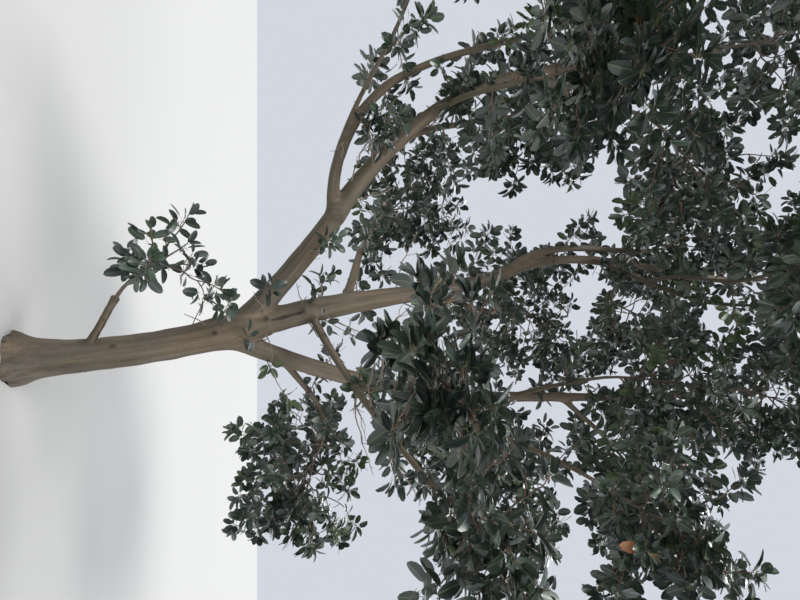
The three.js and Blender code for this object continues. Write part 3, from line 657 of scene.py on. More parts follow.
def spray_frame(twig_along, turn, spread, roll):
    """The directions of a spray that leaves its twig at an angle round it, drawn towards the level."""
    side = unit(np.cross(twig_along, UP))
    other = np.cross(side, twig_along)
    wide, high = side * math.sin(spread), other * math.sin(spread)
    along = twig_along * math.cos(spread) + wide * math.cos(turn) + high * math.sin(turn) * SPRAY_FLAT
    along[2] = along[2] * SPRAY_RISE - SPRAY_DROOP
    along = unit(along)
    return along, turned(unit(np.cross(along, UP)), along, roll)


def grow_mass(mass):
    """A stem from the limb's tip, main twigs as in the solids, finer ones between them, and their sprays."""
    random = seeded(MASS_SEED + SEED_STEP * mass["index"])
    limb = mass["limb"]["curve"]
    foot = limb.at(1) + limb.along(1) * JOINT_GAP
    through = mass["centre"] - foot
    stem = Curve(foot, limb.along(1), mass["centre"] + through * STEM_BEYOND, unit(through))
    spray_length = SPRAY_SHARE * mass["size"]
    middles, twigs, sprays = [], [], []

    def clear(points):
        return in_space(points, mass).all() and limb_gap(points, mass["near"]) > LIMB_CLEARANCE

    def grow_spray_on(twig, share, turn, spread, sizes, least):
        root = lerp(twig[0], twig[1], share)
        along, across = spray_frame(unit(twig[1] - twig[0]), turn, spread, SPRAY_ROLL * (2 * random() - 1))
        for size in sizes:
            spray = {"root": root, "along": along, "across": across, "length": size * spray_length}
            middle = root + along * SPRAY_WIDEST * spray["length"]
            if any(np.linalg.norm(other - middle) < least * spray_length for other in middles):
                continue
            if clear(spray_points(spray)):
                middles.append(middle)
                return {**spray, "twig_end": twig[1], "share": share}
        return None

    def grow_twigs(count, turn_start, reaches, n_sprays, sizes, least):
        for order in range(count):
            height = 1 - 2 * (order + 0.5) / count
            turn = turn_start + order * GOLDEN_ANGLE
            flat = math.sqrt(1 - height * height)
            outwards = np.array([flat * math.cos(turn), flat * math.sin(turn), height])
            reach = (mass["reach"] - spray_length * TWIG_REACH) * lerp(*reaches, random())
            target = mass["centre"] + outwards * reach
            progress = (target - foot) @ through / (through @ through)
            share = min(max(progress * TWIG_BEHIND, TWIG_LEAVES[0]), TWIG_LEAVES[1])
            twig = (axis_point(stem, STEM_ROWS, share), target)
            steps = np.arange(1, TWIG_TESTS + 1)[:, None] / TWIG_TESTS
            if not clear(lerp(twig[0], twig[1], steps)):
                continue
            tip_spray = grow_spray_on(twig, 1, order, TIP_SPREAD, sizes, least)
            if tip_spray is None:
                continue
            twigs.append({"end": target, "share": share})
            sprays.append(tip_spray)
            for j in range(n_sprays - 1):
                place = lerp(FIRST_SPRAY, LAST_SPRAY, j / (n_sprays - 2))
                spread = lerp(*SPRAY_SPREAD, random())
                spray = grow_spray_on(twig, place, order + (j + 1) * SPRAY_TURN, spread, sizes, least)
                if spray:
                    sprays.append(spray)

    turn_start = random() * math.pi * 2
    grow_twigs(mass["twigs"], turn_start, (TWIG_LEAST, 1), mass["sprays"], SPRAY_SIZES, SPRAY_APART)
    finer = round(INNER_TWIGS * mass["leafy"])
    grow_twigs(finer, turn_start + INNER_TURN, INNER_REACH, INNER_SPRAYS, INNER_SIZES, INNER_APART)
    return stem, twigs, sprays


def add_object(name, data):
    """An object in the scene that holds a mesh, a lamp or a camera."""
    obj = bpy.data.objects.new(name, data)
    bpy.context.scene.collection.objects.link(obj)
    return obj


def smooth_mesh(name, points, faces, materials=()):
    """A mesh from points in millimetres."""
    mesh = bpy.data.meshes.new(name)
    mesh.from_pydata(points * MM, [], faces)
    mesh.polygons.foreach_set("use_smooth", np.full(len(mesh.polygons), True))
    for material in materials:
        mesh.materials.append(material)
    return mesh


def ring_frames(path):
    """Two directions square to each point of a path, which turn with it and don't twist."""
    along = units(np.gradient(path, axis=0))
    side = np.array([0.0, 1.0, 0.0])
    if abs(side @ along[0]) > STEEP:
        side = np.array([1.0, 0.0, 0.0])
    sides = []
    for step in along:
        side = unit(side - step * (side @ step))
        sides.append(side)
    sides = np.array(sides)
    return along, sides, np.cross(along, sides)


def tube_rings(path, radii, sides):
    """The points of a tube along a path, ring after ring, the quads between rings, and the way along it."""
    along, side, other = ring_frames(path)
    angles = np.linspace(0, 2 * math.pi, sides, endpoint=False)
    out = np.cos(angles)[None, :, None] * side[:, None] + np.sin(angles)[None, :, None] * other[:, None]
    points = (path[:, None] + out * np.asarray(radii, float)[:, None, None]).reshape(-1, 3)
    row, i = np.meshgrid(np.arange(len(path) - 1), np.arange(sides), indexing="ij")
    a, b = (row * sides + i).ravel(), (row * sides + (i + 1) % sides).ravel()
    return points, np.stack([a, b, b + sides, a + sides], axis=1), along


def chains():
    """The limbs in runs that go on from one another's tips."""
    runs = {"trunk": ["trunk"]}
    for name, parent, share, *_ in LIMBS:
        run = next((r for r in runs.values() if share == 1 and r[-1] == parent), None)
        if run:
            run.append(name)
        else:
            runs[name] = [name]
    return list(runs.values())


def chain_axis(run, limbs):
    """The path of a run of limbs, with the radius and the length so far at each point."""
    path, radii = [], []
    for name in run:
        points, widths = limb_steps(limbs[name], AXIS_STEP)
        first = 1 if path else 0
        path.extend(points[first:])
        radii.extend(widths[first:])
    if run[0] == "trunk":
        path.insert(0, np.array([0.0, 0.0, -BELOW_GROUND]))
        radii.insert(0, radii[0])
    path, radii = np.array(path), np.array(radii)
    lengths = np.concatenate([[0], np.cumsum(np.linalg.norm(np.diff(path, axis=0), axis=1))])
    along, side, other = ring_frames(path)
    frames = {"along": along, "side": side, "other": other}
    return {"name": run[0], "path": path, "radii": radii, "lengths": lengths, **frames}


def lay_tubes(axes):
    """The points and faces of closed tubes along the axes, on every second point of theirs."""
    points, faces, count = [], [], 0
    for axis in axes:
        path = axis["path"][::2]
        if (len(axis["path"]) - 1) % 2:
            path = np.concatenate([path, axis["path"][-1:]])
        radii = np.interp(np.linspace(0, 1, len(path)), np.linspace(0, 1, len(axis["radii"])), axis["radii"])
        sides = TRUNK_SIDES if axis is axes[0] else LIMB_SIDES
        rings, quads, _ = tube_rings(path, radii, sides)
        ring = np.arange(sides) + count
        faces += [*(quads + count).tolist(), ring[::-1].tolist(), (ring + (len(path) - 1) * sides).tolist()]
        points.append(rings)
        count += len(rings)
    return np.concatenate(points), faces


def rough_skin(axes):
    """The skin over the tubes, laid on a grid, and cut flat at the ground."""
    tubes = add_object("tubes", smooth_mesh("tubes", *lay_tubes(axes)))
    remesh = tubes.modifiers.new("skin", "REMESH")
    remesh.mode = "VOXEL"
    remesh.voxel_size = VOXEL * MM
    depsgraph = bpy.context.evaluated_depsgraph_get()
    skin = bpy.data.meshes.new_from_object(tubes.evaluated_get(depsgraph))
    bpy.data.meshes.remove(tubes.data)
    bm = bmesh.new()
    bm.from_mesh(skin)
    level = {"plane_co": (0, 0, 0), "plane_no": (0, 0, 1), "clear_inner": True}
    cut = bmesh.ops.bisect_plane(bm, geom=[*bm.verts, *bm.edges, *bm.faces], **level)
    rim = [e for e in cut["geom_cut"] if isinstance(e, bmesh.types.BMEdge)]
    foot = bmesh.ops.holes_fill(bm, edges=rim, sides=0)["faces"]
    bmesh.ops.triangulate(bm, faces=foot)
    bm.to_mesh(skin)
    bm.free()
    return skin


def measure_from(points, axis):
    """From each point to an axis: the distance, the way out, the radius, the length so far and the angle."""
    nearest = np.empty(len(points), int)
    for begin in range(0, len(points), POINTS_AT_ONCE):
        block = points[begin : begin + POINTS_AT_ONCE]
        apart = ((block[:, None] - axis["path"][None]) ** 2).sum(axis=2)
        nearest[begin : begin + POINTS_AT_ONCE] = apart.argmin(axis=1)
    off = points - axis["path"][nearest]
    ahead = (off * axis["along"][nearest]).sum(axis=1)
    place = np.clip(axis["lengths"][nearest] + ahead, 0, axis["lengths"][-1])
    middle = np.stack([np.interp(place, axis["lengths"], axis["path"][:, i]) for i in range(3)], axis=1)
    out = points - middle
    distance = np.linalg.norm(out, axis=1)
    out = out / np.maximum(distance, TINY)[:, None]
    angle = np.arctan2((out * axis["other"][nearest]).sum(axis=1), (out * axis["side"][nearest]).sum(axis=1))
    return distance, out, np.interp(place, axis["lengths"], axis["radii"]), place, angle


def broken_wood(axis, points, out, radius, place, angle):
    """The splits and knots in a run of limbs, and the knob and hollow at the stub's end: the radii with them,
    and a mask that paints near-black shade into the splits and the hollow, and darkens the knots' scars."""
    shade_and_scar_mask = np.zeros(len(points))
    for name, low, high, facing, half_width, depth in SPLITS:
        if name != axis["name"]:
            continue
        up = (points[:, 2] - low) / (high - low)
        waver = 1 + SPLIT_WAVER * np.sin(place / SPLIT_WAVE)
        wide = half_width * np.sqrt(np.maximum(4 * up * (1 - up), 0)) * waver
        toward = np.array(facing)
        middle = len(axis["path"]) // 2
        open_angle = math.atan2(axis["other"][middle] @ toward, axis["side"][middle] @ toward)
        aside = np.abs(np.angle(np.exp(1j * (angle - open_angle))))
        split = np.clip((wide - aside) * radius / SPLIT_EDGE, 0, 1)
        radius = radius * (1 - depth * split)
        # The split's groove is also painted near-black, as its shade.
        shade_and_scar_mask = np.maximum(shade_and_scar_mask, split)
    for name, height, heading, size in KNOTS:
        if name != axis["name"]:
            continue
        row = np.abs(axis["path"][:, 2] - height).argmin()
        middle = axis["path"][row] + direction((heading, 0)) * (axis["radii"][row] + size * KNOT_HEIGHT / 2)
        bump = np.exp(-((np.linalg.norm(points - middle, axis=1) / size) ** 2))
        radius = radius + size * KNOT_HEIGHT * bump
        shade_and_scar_mask = np.maximum(shade_and_scar_mask, np.clip((bump - KNOT_SCAR) / (1 - KNOT_SCAR), 0, 1))
    if axis["name"] == STUB:
        total = axis["lengths"][-1]
        hollow = np.clip((out @ axis["along"][-1] - HOLLOW_FACING) / HOLLOW_EDGE, 0, 1) * (place >= total)
        radius = radius * (1 + KNOB_SWELL * np.exp(-(((total - place) / KNOB_LENGTH) ** 2)))
        radius = radius * (1 - HOLLOW_DEPTH * hollow)
        # The hollow is painted near-black too, as its shade.
        shade_and_scar_mask = np.maximum(shade_and_scar_mask, hollow)
    return radius, shade_and_scar_mask


def noise_at(points, size):
    """Smooth noise at each point, from about -1 to 1."""
    return np.array([noise.noise(p) for p in (points / size).tolist()])


def skin_relief(grain, radius):
    """How far the bark stands out or in: long swellings round each limb, lumps, and small bumps."""
    flutes = noise_at(grain * np.array([1, 1, FLUTE_STRETCH]), FLUTE_SIZE) * radius * FLUTE_DEPTH
    lumps = noise_at(grain, LUMP_SIZE) * radius * LUMP_DEPTH
    ripples = noise_at(grain * np.array([1, 1, RIPPLE_STRETCH]), RIPPLE_SIZE) * RIPPLE_DEPTH
    return flutes + lumps + ripples


def measure_skin(points, axes, nearby, with_relief):
    """For each point of the skin: how far out it is, the way out, its place in the bark's pattern, how much
    painted shade of a split or hollow or dark knot scar it has, and how near the line is where two limbs'
    patterns meet."""
    count = len(points)
    weight, relief, shade_and_scar_mask = np.zeros((3, count))
    way, grain = np.zeros((2, count, 3))
    best, second = np.full((2, count), np.inf)
    for order, (axis, near) in enumerate(zip(axes, nearby)):
        distance, out, radius, place, angle = measure_from(points[near], axis)
        if order == 0:
            radius = radius * trunk_ridges(np.maximum(points[near, 2], 0), angle)
        radius, shade_and_scar = broken_wood(axis, points[near], out, radius, place, angle)
        gap = distance - radius
        share = np.exp(-gap / FILLET)
        weight[near] += share
        way[near] += out * share[:, None]
        closer = gap < best[near]
        second[near] = np.minimum(second[near], np.where(closer, best[near], gap))
        chosen = near[closer]
        best[chosen] = gap[closer]
        shade_and_scar_mask[chosen] = shade_and_scar[closer]
        coil = np.stack([np.cos(angle) * radius, np.sin(angle) * radius, place + order * GRAIN_APART], axis=1)
        grain[chosen] = coil[closer]
        if with_relief:
            at = share > LEAST_SHARE
            relief[near[at]] += share[at] * skin_relief(coil[at], radius[at])
    weight = np.maximum(weight, TINY)
    gap = -FILLET * np.log(weight) - relief / weight
    way = way / np.maximum(np.linalg.norm(way, axis=1), TINY)[:, None]
    seam = np.minimum(SEAM_FLAT * np.exp(-(((second - best) / SEAM_WIDTH) ** 2)), 1)
    return gap, way, grain, shade_and_scar_mask, seam


def make_bark(limbs, material):
    """One skin over the trunk and all limbs, drawn to each limb's true radius with a soft fillet where limbs
    meet, and then again with the bark's relief."""
    axes = [chain_axis(run, limbs) for run in chains()]
    skin = rough_skin(axes)
    co = np.empty(len(skin.vertices) * 3)
    skin.vertices.foreach_get("co", co)
    points = co.reshape(-1, 3) / MM
    grounded = points[:, 2] < ON_GROUND
    nearby = []
    for axis in axes:
        margin = axis["radii"].max() + SKIN_MARGIN
        low, high = axis["path"].min(axis=0) - margin, axis["path"].max(axis=0) + margin
        nearby.append(np.flatnonzero(((points > low) & (points < high)).all(axis=1)))
    for with_relief in (False, True):
        gap, way, grain, shade_and_scar_mask, seam = measure_skin(points, axes, nearby, with_relief)
        points = points - way * np.clip(gap, -SKIN_MARGIN, SKIN_MARGIN)[:, None]
        points[grounded, 2] = 0
        points[:, 2] = np.maximum(points[:, 2], 0)
    skin.vertices.foreach_set("co", (points * MM).ravel())
    skin.attributes.new("grain", "FLOAT_VECTOR", "POINT").data.foreach_set("vector", (grain * MM).ravel())
    # The first of these is the mask of the near-black painted shade in the splits and the hollow, and of the
    # knots' dark scars.
    for name, values in (("shade_and_scar", shade_and_scar_mask), ("seam", seam)):
        skin.attributes.new(name, "FLOAT", "POINT").data.foreach_set("value", values)
    skin.polygons.foreach_set("use_smooth", np.full(len(skin.polygons), True))
    skin.materials.append(material)
    skin.update()
    return add_object("bark", skin)


class Pile:
    """Points and triangles gathered for one joined mesh, each triangle with its material's number."""

    def __init__(self):
        self.points, self.triangles, self.kinds, self.count = [], [], [], 0

    def add(self, points, triangles, kind):
        self.points.append(points)
        self.triangles.append(triangles + self.count)
        self.kinds.append(np.broadcast_to(kind, (len(triangles),)))
        self.count += len(points)

    def tube(self, path, radii, sides, kind):
        """A tube along a path, with a low point at its end."""
        points, quads, along = tube_rings(path, radii, sides)
        end = np.arange(sides) + len(points) - sides
        cap = np.stack([end, np.roll(end, -1), np.full(sides, len(points))], 1)
        points = np.concatenate([points, path[-1:] + along[-1:] * radii[-1] * CAP_LENGTH])
        self.add(points, np.concatenate([quads[:, [0, 1, 2]], quads[:, [0, 2, 3]], cap]), kind)

    def twig(self, curve, foot, tip, rows_and_sides, kind):
        """A tube along a curve, from one radius to another."""
        rows, sides = rows_and_sides
        shares = np.linspace(0, 1, rows)
        self.tube(curve.at(shares), lerp(foot, tip, shares), sides, kind)

    def joined(self, name, materials):
        mesh = smooth_mesh(name, np.concatenate(self.points), np.concatenate(self.triangles), materials)
        mesh.polygons.foreach_set("material_index", np.concatenate(self.kinds).astype(np.int32))
        return add_object(name, mesh)


def leaf_template(rows):
    """A leaf's points across and along it, its triangles, and which of these are the midrib's narrow band."""
    across, along = [0.0], [0.0]
    for place, half in rows:
        across += [-half, -MIDRIB, MIDRIB, half]
        along += [place] * 4
    across.append(0.0)
    along.append(1.0)
    last = len(across) - 5
    triangles = [(0, 2 + i, 1 + i) for i in range(3)]
    for row in range(len(rows) - 1):
        for a in range(1 + row * 4, 4 + row * 4):
            triangles += [(a, a + 1, a + 5), (a, a + 5, a + 4)]
    triangles += [(last + i, last + i + 1, last + 4) for i in range(3)]
    bands = [0, 1, 0] + [0, 0, 1, 1, 0, 0] * (len(rows) - 1) + [0, 1, 0]
    return np.array(across), np.array(along), np.array(triangles), np.array(bands)


def add_copies(pile, points, triangles, kinds):
    """Many shapes with the same triangles: points has a row of its own points for each one."""
    start = np.arange(len(points))[:, None, None] * points.shape[1]
    pile.add(points.reshape(-1, 3), (np.asarray(triangles)[None] + start).reshape(-1, 3), kinds)


def add_leaves(pile, outline, base, along, upper, lengths, folds, bends, kinds):
    """Many leaves at once: each a stalk and a blade, folded at its midrib and bent along its length."""
    across_at, along_at, triangles, bands = leaf_template(outline)
    sideways = np.cross(along, upper)
    blade = base + along * PETIOLE * (lengths / LEAF_LENGTH)[:, None]
    x = across_at[None] * (lengths * LEAF_WIDTH / 2)[:, None]
    y = along_at[None] * lengths[:, None]
    z = np.abs(x) * folds[:, None] - bends[:, None] * lengths[:, None] * along_at[None] ** 2
    local = x[..., None] * sideways[:, None] + y[..., None] * along[:, None] + z[..., None] * upper[:, None]
    kinds = np.where(bands == 1, MIDRIB_KIND, kinds[:, None]).ravel()
    add_copies(pile, blade[:, None] + local, triangles, kinds)

    # The stalk is a narrow strip folded along its middle, from the shoot to the blade.
    edges = [upper * PETIOLE_FOLD - sideways, -upper, sideways + upper * PETIOLE_FOLD]
    ring = np.stack(edges, axis=1) * PETIOLE_RADIUS
    near = base[:, None] + ring
    far = blade[:, None] + along[:, None] * PETIOLE_RADIUS * PETIOLE_UNDER + ring * PETIOLE_TAPER
    strip = [(0, 1, 4), (0, 4, 3), (1, 2, 5), (1, 5, 4)]
    add_copies(pile, np.concatenate([near, far], axis=1), strip, MIDRIB_KIND)


def grow_shoots(mass, rng, pile):
    """A mass's stem, twigs, sprays and side shoots. Gives each rosette's place, direction and shade."""
    stem, twigs, sprays = grow_mass(mass)
    limb_tip = float(mass["limb"]["radius"](1))
    rows, sides = STEM_TUBE
    shares = np.linspace(0, 1, rows)
    path = np.concatenate([[stem.at(0) - stem.along(0) * STEM_BURY], stem.at(shares)])
    thick = lerp(min(limb_tip, STEM_WIDEST), STEM_TIP, shares**STEM_TAPER)
    pile.tube(path, np.concatenate([[limb_tip * STEM_FOOT], thick]), sides, TWIG_KIND)
    curves = {}
    for twig in twigs:
        root = stem.at(twig["share"])
        straight = unit(twig["end"] - root)
        leaves = unit(lerp(stem.along(twig["share"]), straight, TWIG_LEAVING))
        curve = Curve(root, leaves, twig["end"], unit(straight + UP * UPTURN)).wavy(rng)
        curves[tuple(twig["end"])] = curve
        foot = min(TWIG_FOOT, lerp(STEM_WIDEST, STEM_TIP, twig["share"]))
        pile.twig(curve, foot, TWIG_TIP, TWIG_TUBE, TWIG_KIND)

    def allowed(tip):
        return in_space(tip, mass, SHOOT_SLACK)[0] and limb_gap(tip, mass["near"]) > SHOOT_CLEARANCE

    found = [(stem.at(1), stem.along(1), STEM_SHADE)]
    for spray in sprays:
        curve = curves[tuple(spray["twig_end"])]
        end = spray["root"] + spray["along"] * (spray["length"] - SPRAY_END)
        leaves = unit(lerp(curve.along(spray["share"]), spray["along"], SPRAY_LEAVING))
        arrives = unit(spray["along"] + UP * UPTURN)
        axis = Curve(curve.at(spray["share"]), leaves, end, arrives).wavy(rng)
        found += grow_spray(axis, spray["across"], spray["length"], mass["leafy"], allowed, rng, pile)
    return found


def grow_spray(axis, across, length, leafy, allowed, rng, pile):
    """A spray's axis and side shoots. Gives the place, direction and shade of the rosette at each tip."""
    pile.twig(axis, SPRAY_FOOT, SHOOT_TIP, SPRAY_TUBE, SHOOT_KIND)
    long = axis.length()
    shade = rng.random()
    found = [(axis.at(1), axis.along(1), shade)]
    first_hand = rng.choice([-1, 1])
    for m in range(int((long - SHOOT_CLEAR) / SHOOT_STEP) + 1):
        place = 1 - (SHOOT_STEP * (m + rng.uniform(*SHOOT_PLACE))) / long
        if place < SHOOT_LOWEST:
            break
        half = spray_taper(place) * SPRAY_WIDTH / 2 * length
        reach = max(SHOOT_LEAST, half * SHOOT_LENGTH) * rng.uniform(*SHOOT_VARIES)
        hand = first_hand * (-1) ** m
        spread = SHOOT_SPREAD + rng.uniform(-SHOOT_TURN, SHOOT_TURN)
        forward = axis.along(place)
        out = unit(forward * math.cos(spread) + across * hand * math.sin(spread))
        foot = axis.at(place)
        tip = foot + unit(out + UP * rng.uniform(*SHOOT_RISE)) * reach
        if rng.random() > leafy or not allowed(tip):
            continue
        side_shoot = Curve(foot, unit(forward + out), tip, unit(out + UP * rng.uniform(*SHOOT_UPTURN)))
        pile.twig(side_shoot, SHOOT_FOOT, SHOOT_TIP, SHOOT_TUBE, SHOOT_KIND)
        found.append((tip, side_shoot.along(1), shade))
    return found


def grow_bare_twig(axis, rng, pile):
    """A dead twig, which bends where it has lost a shoot, with a few short crooked shoots left on it."""
    rows, sides = BARE_TUBE
    long = axis.length()
    bends = max(BARE_BENDS, round(long / BARE_STEP)) + 1
    path = axis.at(np.linspace(0, 1, bends))
    path[1:] += rng.normal(0, CROOK * BARE_STEP / 2, (bends - 1, 3))
    radii = lerp(BARE_FOOT, BARE_TIP, np.linspace(0, 1, bends))
    pile.tube(path, radii, TWIG_TUBE[1], DEAD_KIND)
    for bend in range(2, bends - 1):
        if rng.random() > BARE_SHOOTS:
            continue
        forward = unit(path[bend + 1] - path[bend])
        out = unit(forward + rng.normal(0, BARE_SPREAD, 3) + UP * BARE_RISE)
        reach = long * (1 - bend / bends) * rng.uniform(*BARE_REACH)
        steps = np.linspace(0, 1, rows)[:, None]
        shoot = path[bend] + out * reach * steps + rng.normal(0, BARE_CROOK * reach, (rows, 3)) * steps
        foot, tip = radii[bend] * BARE_TAPER[0], BARE_TIP * BARE_TAPER[1]
        pile.tube(shoot, lerp(foot, tip, steps[:, 0]), sides, DEAD_KIND)


def grow_sprouts(limbs, rng, pile):
    """The short leafy shoots that stand straight on the limbs, and the dead twigs. Gives the rosettes near
    the fork and those in the crown."""
    near = limb_points(limbs)

    def sprout_axis(name, share, heading, rise, tip_rise, length):
        limb = limbs[name]
        foot = limb["curve"].at(share)
        out = direction((heading, (rise + tip_rise) / 2))
        end = foot + out * (float(np.max(limb["radius"](share))) + length)
        return Curve(foot, direction((heading, rise)), end, direction((heading, tip_rise)))

    def allowed(tip):
        return limb_gap(tip, near) > SHOOT_CLEARANCE

    def grow(leafy, *place):
        axis = sprout_axis(*place)
        across = unit(np.cross(axis.along(0.5), UP))
        return grow_spray(axis, across, place[-1], leafy, allowed, rng, pile)

    at_fork, in_crown = [], []
    for sprout in FORK_SPROUTS:
        at_fork += grow(SPROUT_LEAFY, *sprout)
    for twig in DEAD_TWIGS:
        grow_bare_twig(sprout_axis(*twig), rng, pile)
    for name, limb in limbs.items():
        bare = BARE_PARTS.get(name, BARE_PART) * limb["length"]
        heading = rng.uniform(0, 360)
        for along in np.arange(bare, limb["length"], SPROUT_STEP):
            heading += math.degrees(GOLDEN_ANGLE)
            rise = rng.uniform(*SPROUT_RISE)
            reach = rng.uniform(*SPROUT_REACH)
            in_crown += grow(1, name, along / limb["length"], heading, rise, rise + SPROUT_TURN, reach)
    return at_fork, in_crown


def dry_panicles(found, rng, pile):
    """The withered flower stalks that some rosettes keep: a few fine threads that stand up and curl over."""
    for tip, along, _ in found:
        if rng.random() > DRY_SHARE:
            continue
        for _ in range(DRY_THREADS):
            out = unit(along + UP * DRY_RISE + rng.normal(0, DRY_SPREAD, 3))
            end = tip + out * rng.uniform(*DRY_LENGTH)
            thread = Curve(tip, unit(along + out), end, unit(out - UP * rng.uniform(*DRY_CURL)))
            pile.twig(thread, *THREAD_RADII, THREAD_TUBE, DRY_KIND)


def rosettes(found, outline, flat, loose, rng, pile):
    """The leaves of many rosettes, whorled round each shoot's end: low ones spread wide, high ones rise."""
    tips = np.array([f[0] for f in found])
    axes = units(np.array([f[1] for f in found]) + rng.normal(0, AXIS_STRAYS, (len(found), 3)))
    shades = np.array([f[2] for f in found])
    fewest, most = np.array(ROSETTE_LEAVES) - LOOSE_FEWER * loose
    counts = rng.integers(fewest, most, len(found))
    owner = np.repeat(np.arange(len(found)), counts)
    order = np.concatenate([np.arange(c) for c in counts])
    depth = (order + 0.5) / counts[owner]
    total = len(owner)
    axis = axes[owner]
    side = units(np.cross(axis, np.where(np.abs(axis[:, 2:]) > STEEP, np.array([[1.0, 0, 0]]), UP[None])))
    other = np.cross(axis, side)
    first_turn = rng.uniform(0, 2 * math.pi, len(found))[owner]
    turn = first_turn + order * GOLDEN_ANGLE + rng.normal(0, TURN_STRAYS, total)
    tilt = lerp(*LEAF_TILT, depth**TILT_CURVE) + rng.normal(0, TILT_STRAYS, total)
    out = side * np.cos(turn)[:, None] + other * np.sin(turn)[:, None]
    along = axis * np.cos(tilt)[:, None] + out * np.sin(tilt)[:, None]
    along[:, 2] -= rng.uniform(*LEAF_HANG, total) * depth
    along[:, 2] *= 1 - FLAT_SQUEEZE * flat
    along = units(along)
    level = (rng.uniform(*LEAF_LEVEL, len(found)) + FLAT_LEVEL * flat)[owner, None]
    upper = axis + UP * level + rng.normal(0, FACE_STRAYS, (total, 3))
    upper = units(upper - along * (upper * along).sum(axis=1, keepdims=True))
    base = tips[owner] - axis * (ROSETTE_STACK * (1 + LOOSE_STACK * loose) * depth)[:, None]
    lengths = LEAF_LENGTH * lerp(*LEAF_GROWTH, np.sqrt(depth)) * rng.uniform(*LEAF_VARIES, total)
    folds = rng.uniform(*LEAF_FOLD, total)
    bends = rng.uniform(*LEAF_BEND, total)
    kinds = np.searchsorted(SHADE_STEPS, shades[owner] + rng.normal(0, SHADE_STRAYS, total))
    kinds[(rng.random(total) < OLD_SHARE) & (depth > OLD_DEPTH)] = OLD_KIND
    add_leaves(pile, outline, base, along, upper, lengths, folds, bends, kinds)


def new_material(name, values):
    """A material with its node tree, and its shader with some of its sockets set."""
    material = bpy.data.materials.new(name)
    material.use_nodes = True
    shader = material.node_tree.nodes["Principled BSDF"]
    for socket, value in values.items():
        shader.inputs[socket].default_value = value
    return material, material.node_tree, shader


def add_node(tree, kind, inputs, **settings):
    """A new node with its settings, and with each input linked or set."""
    node = tree.nodes.new("ShaderNode" + kind)
    for name, value in settings.items():
        setattr(node, name, value)
    for name, value in inputs.items():
        if isinstance(value, bpy.types.NodeSocket):
            tree.links.new(value, node.inputs[name])
        else:
            node.inputs[name].default_value = value
    return node


def add_noise(tree, vector, scale, detail, roughness=0.55):
    inputs = {"Vector": vector, "Scale": scale, "Detail": detail, "Roughness": roughness}
    return add_node(tree, "TexNoise", inputs).outputs["Fac"]


def add_ramp(tree, factor, stops):
    """Colours along a factor. Each stop is (place, (red, green, blue))."""
    node = add_node(tree, "ValToRGB", {"Fac": factor})
    elements, stops = node.color_ramp.elements, list(stops)
    while len(elements) < len(stops):
        elements.new(0.5)
    for element, (place, colour) in zip(elements, stops):
        element.position = place
        element.color = (*colour, 1)
    return node.outputs["Color"]


def add_mix(tree, factor, a, b, kind="MIX"):
    node = add_node(tree, "Mix", {"Factor": factor, "A": a, "B": b}, data_type="RGBA", blend_type=kind)
    return node.outputs["Result"]


def add_range(tree, value, low, high, start=0, end=1):
    """A value that runs from start to end, spread from low to high."""
    inputs = {"Value": value, "From Min": start, "From Max": end, "To Min": low, "To Max": high}
    return add_node(tree, "MapRange", inputs).outputs["Result"]


def add_bump(tree, shader, height, strength, distance, under=None):
    """Fine relief on the shader, over any other relief that is under it."""
    inputs = {"Height": height, "Strength": strength, "Distance": distance}
    if under is not None:
        inputs["Normal"] = under
    relief = add_node(tree, "Bump", inputs).outputs["Normal"]
    tree.links.new(relief, shader.inputs["Normal"])
    return relief


def add_attribute(tree, name):
    return add_node(tree, "Attribute", {}, attribute_name=name).outputs


def add_stretched(tree, vector, stretch):
    return add_node(tree, "Mapping", {"Vector": vector, "Scale": (1, 1, stretch)}).outputs["Vector"]


def add_underside_shade_and_moss(tree, patches):
    """Painted shade tinted for moss: 0 where the surface faces up or out, and rising in patches where it
    faces down.
    """
    normal = add_node(tree, "NewGeometry", {}).outputs["Normal"]
    facing_up = add_node(tree, "SeparateXYZ", {"Vector": normal}).outputs["Z"]
    down = add_range(tree, facing_up, 0, UNDERSIDE_MOST, *UNDERSIDE_FACING)
    return add_node(tree, "Math", {0: down, 1: patches}, operation="MULTIPLY").outputs["Value"]


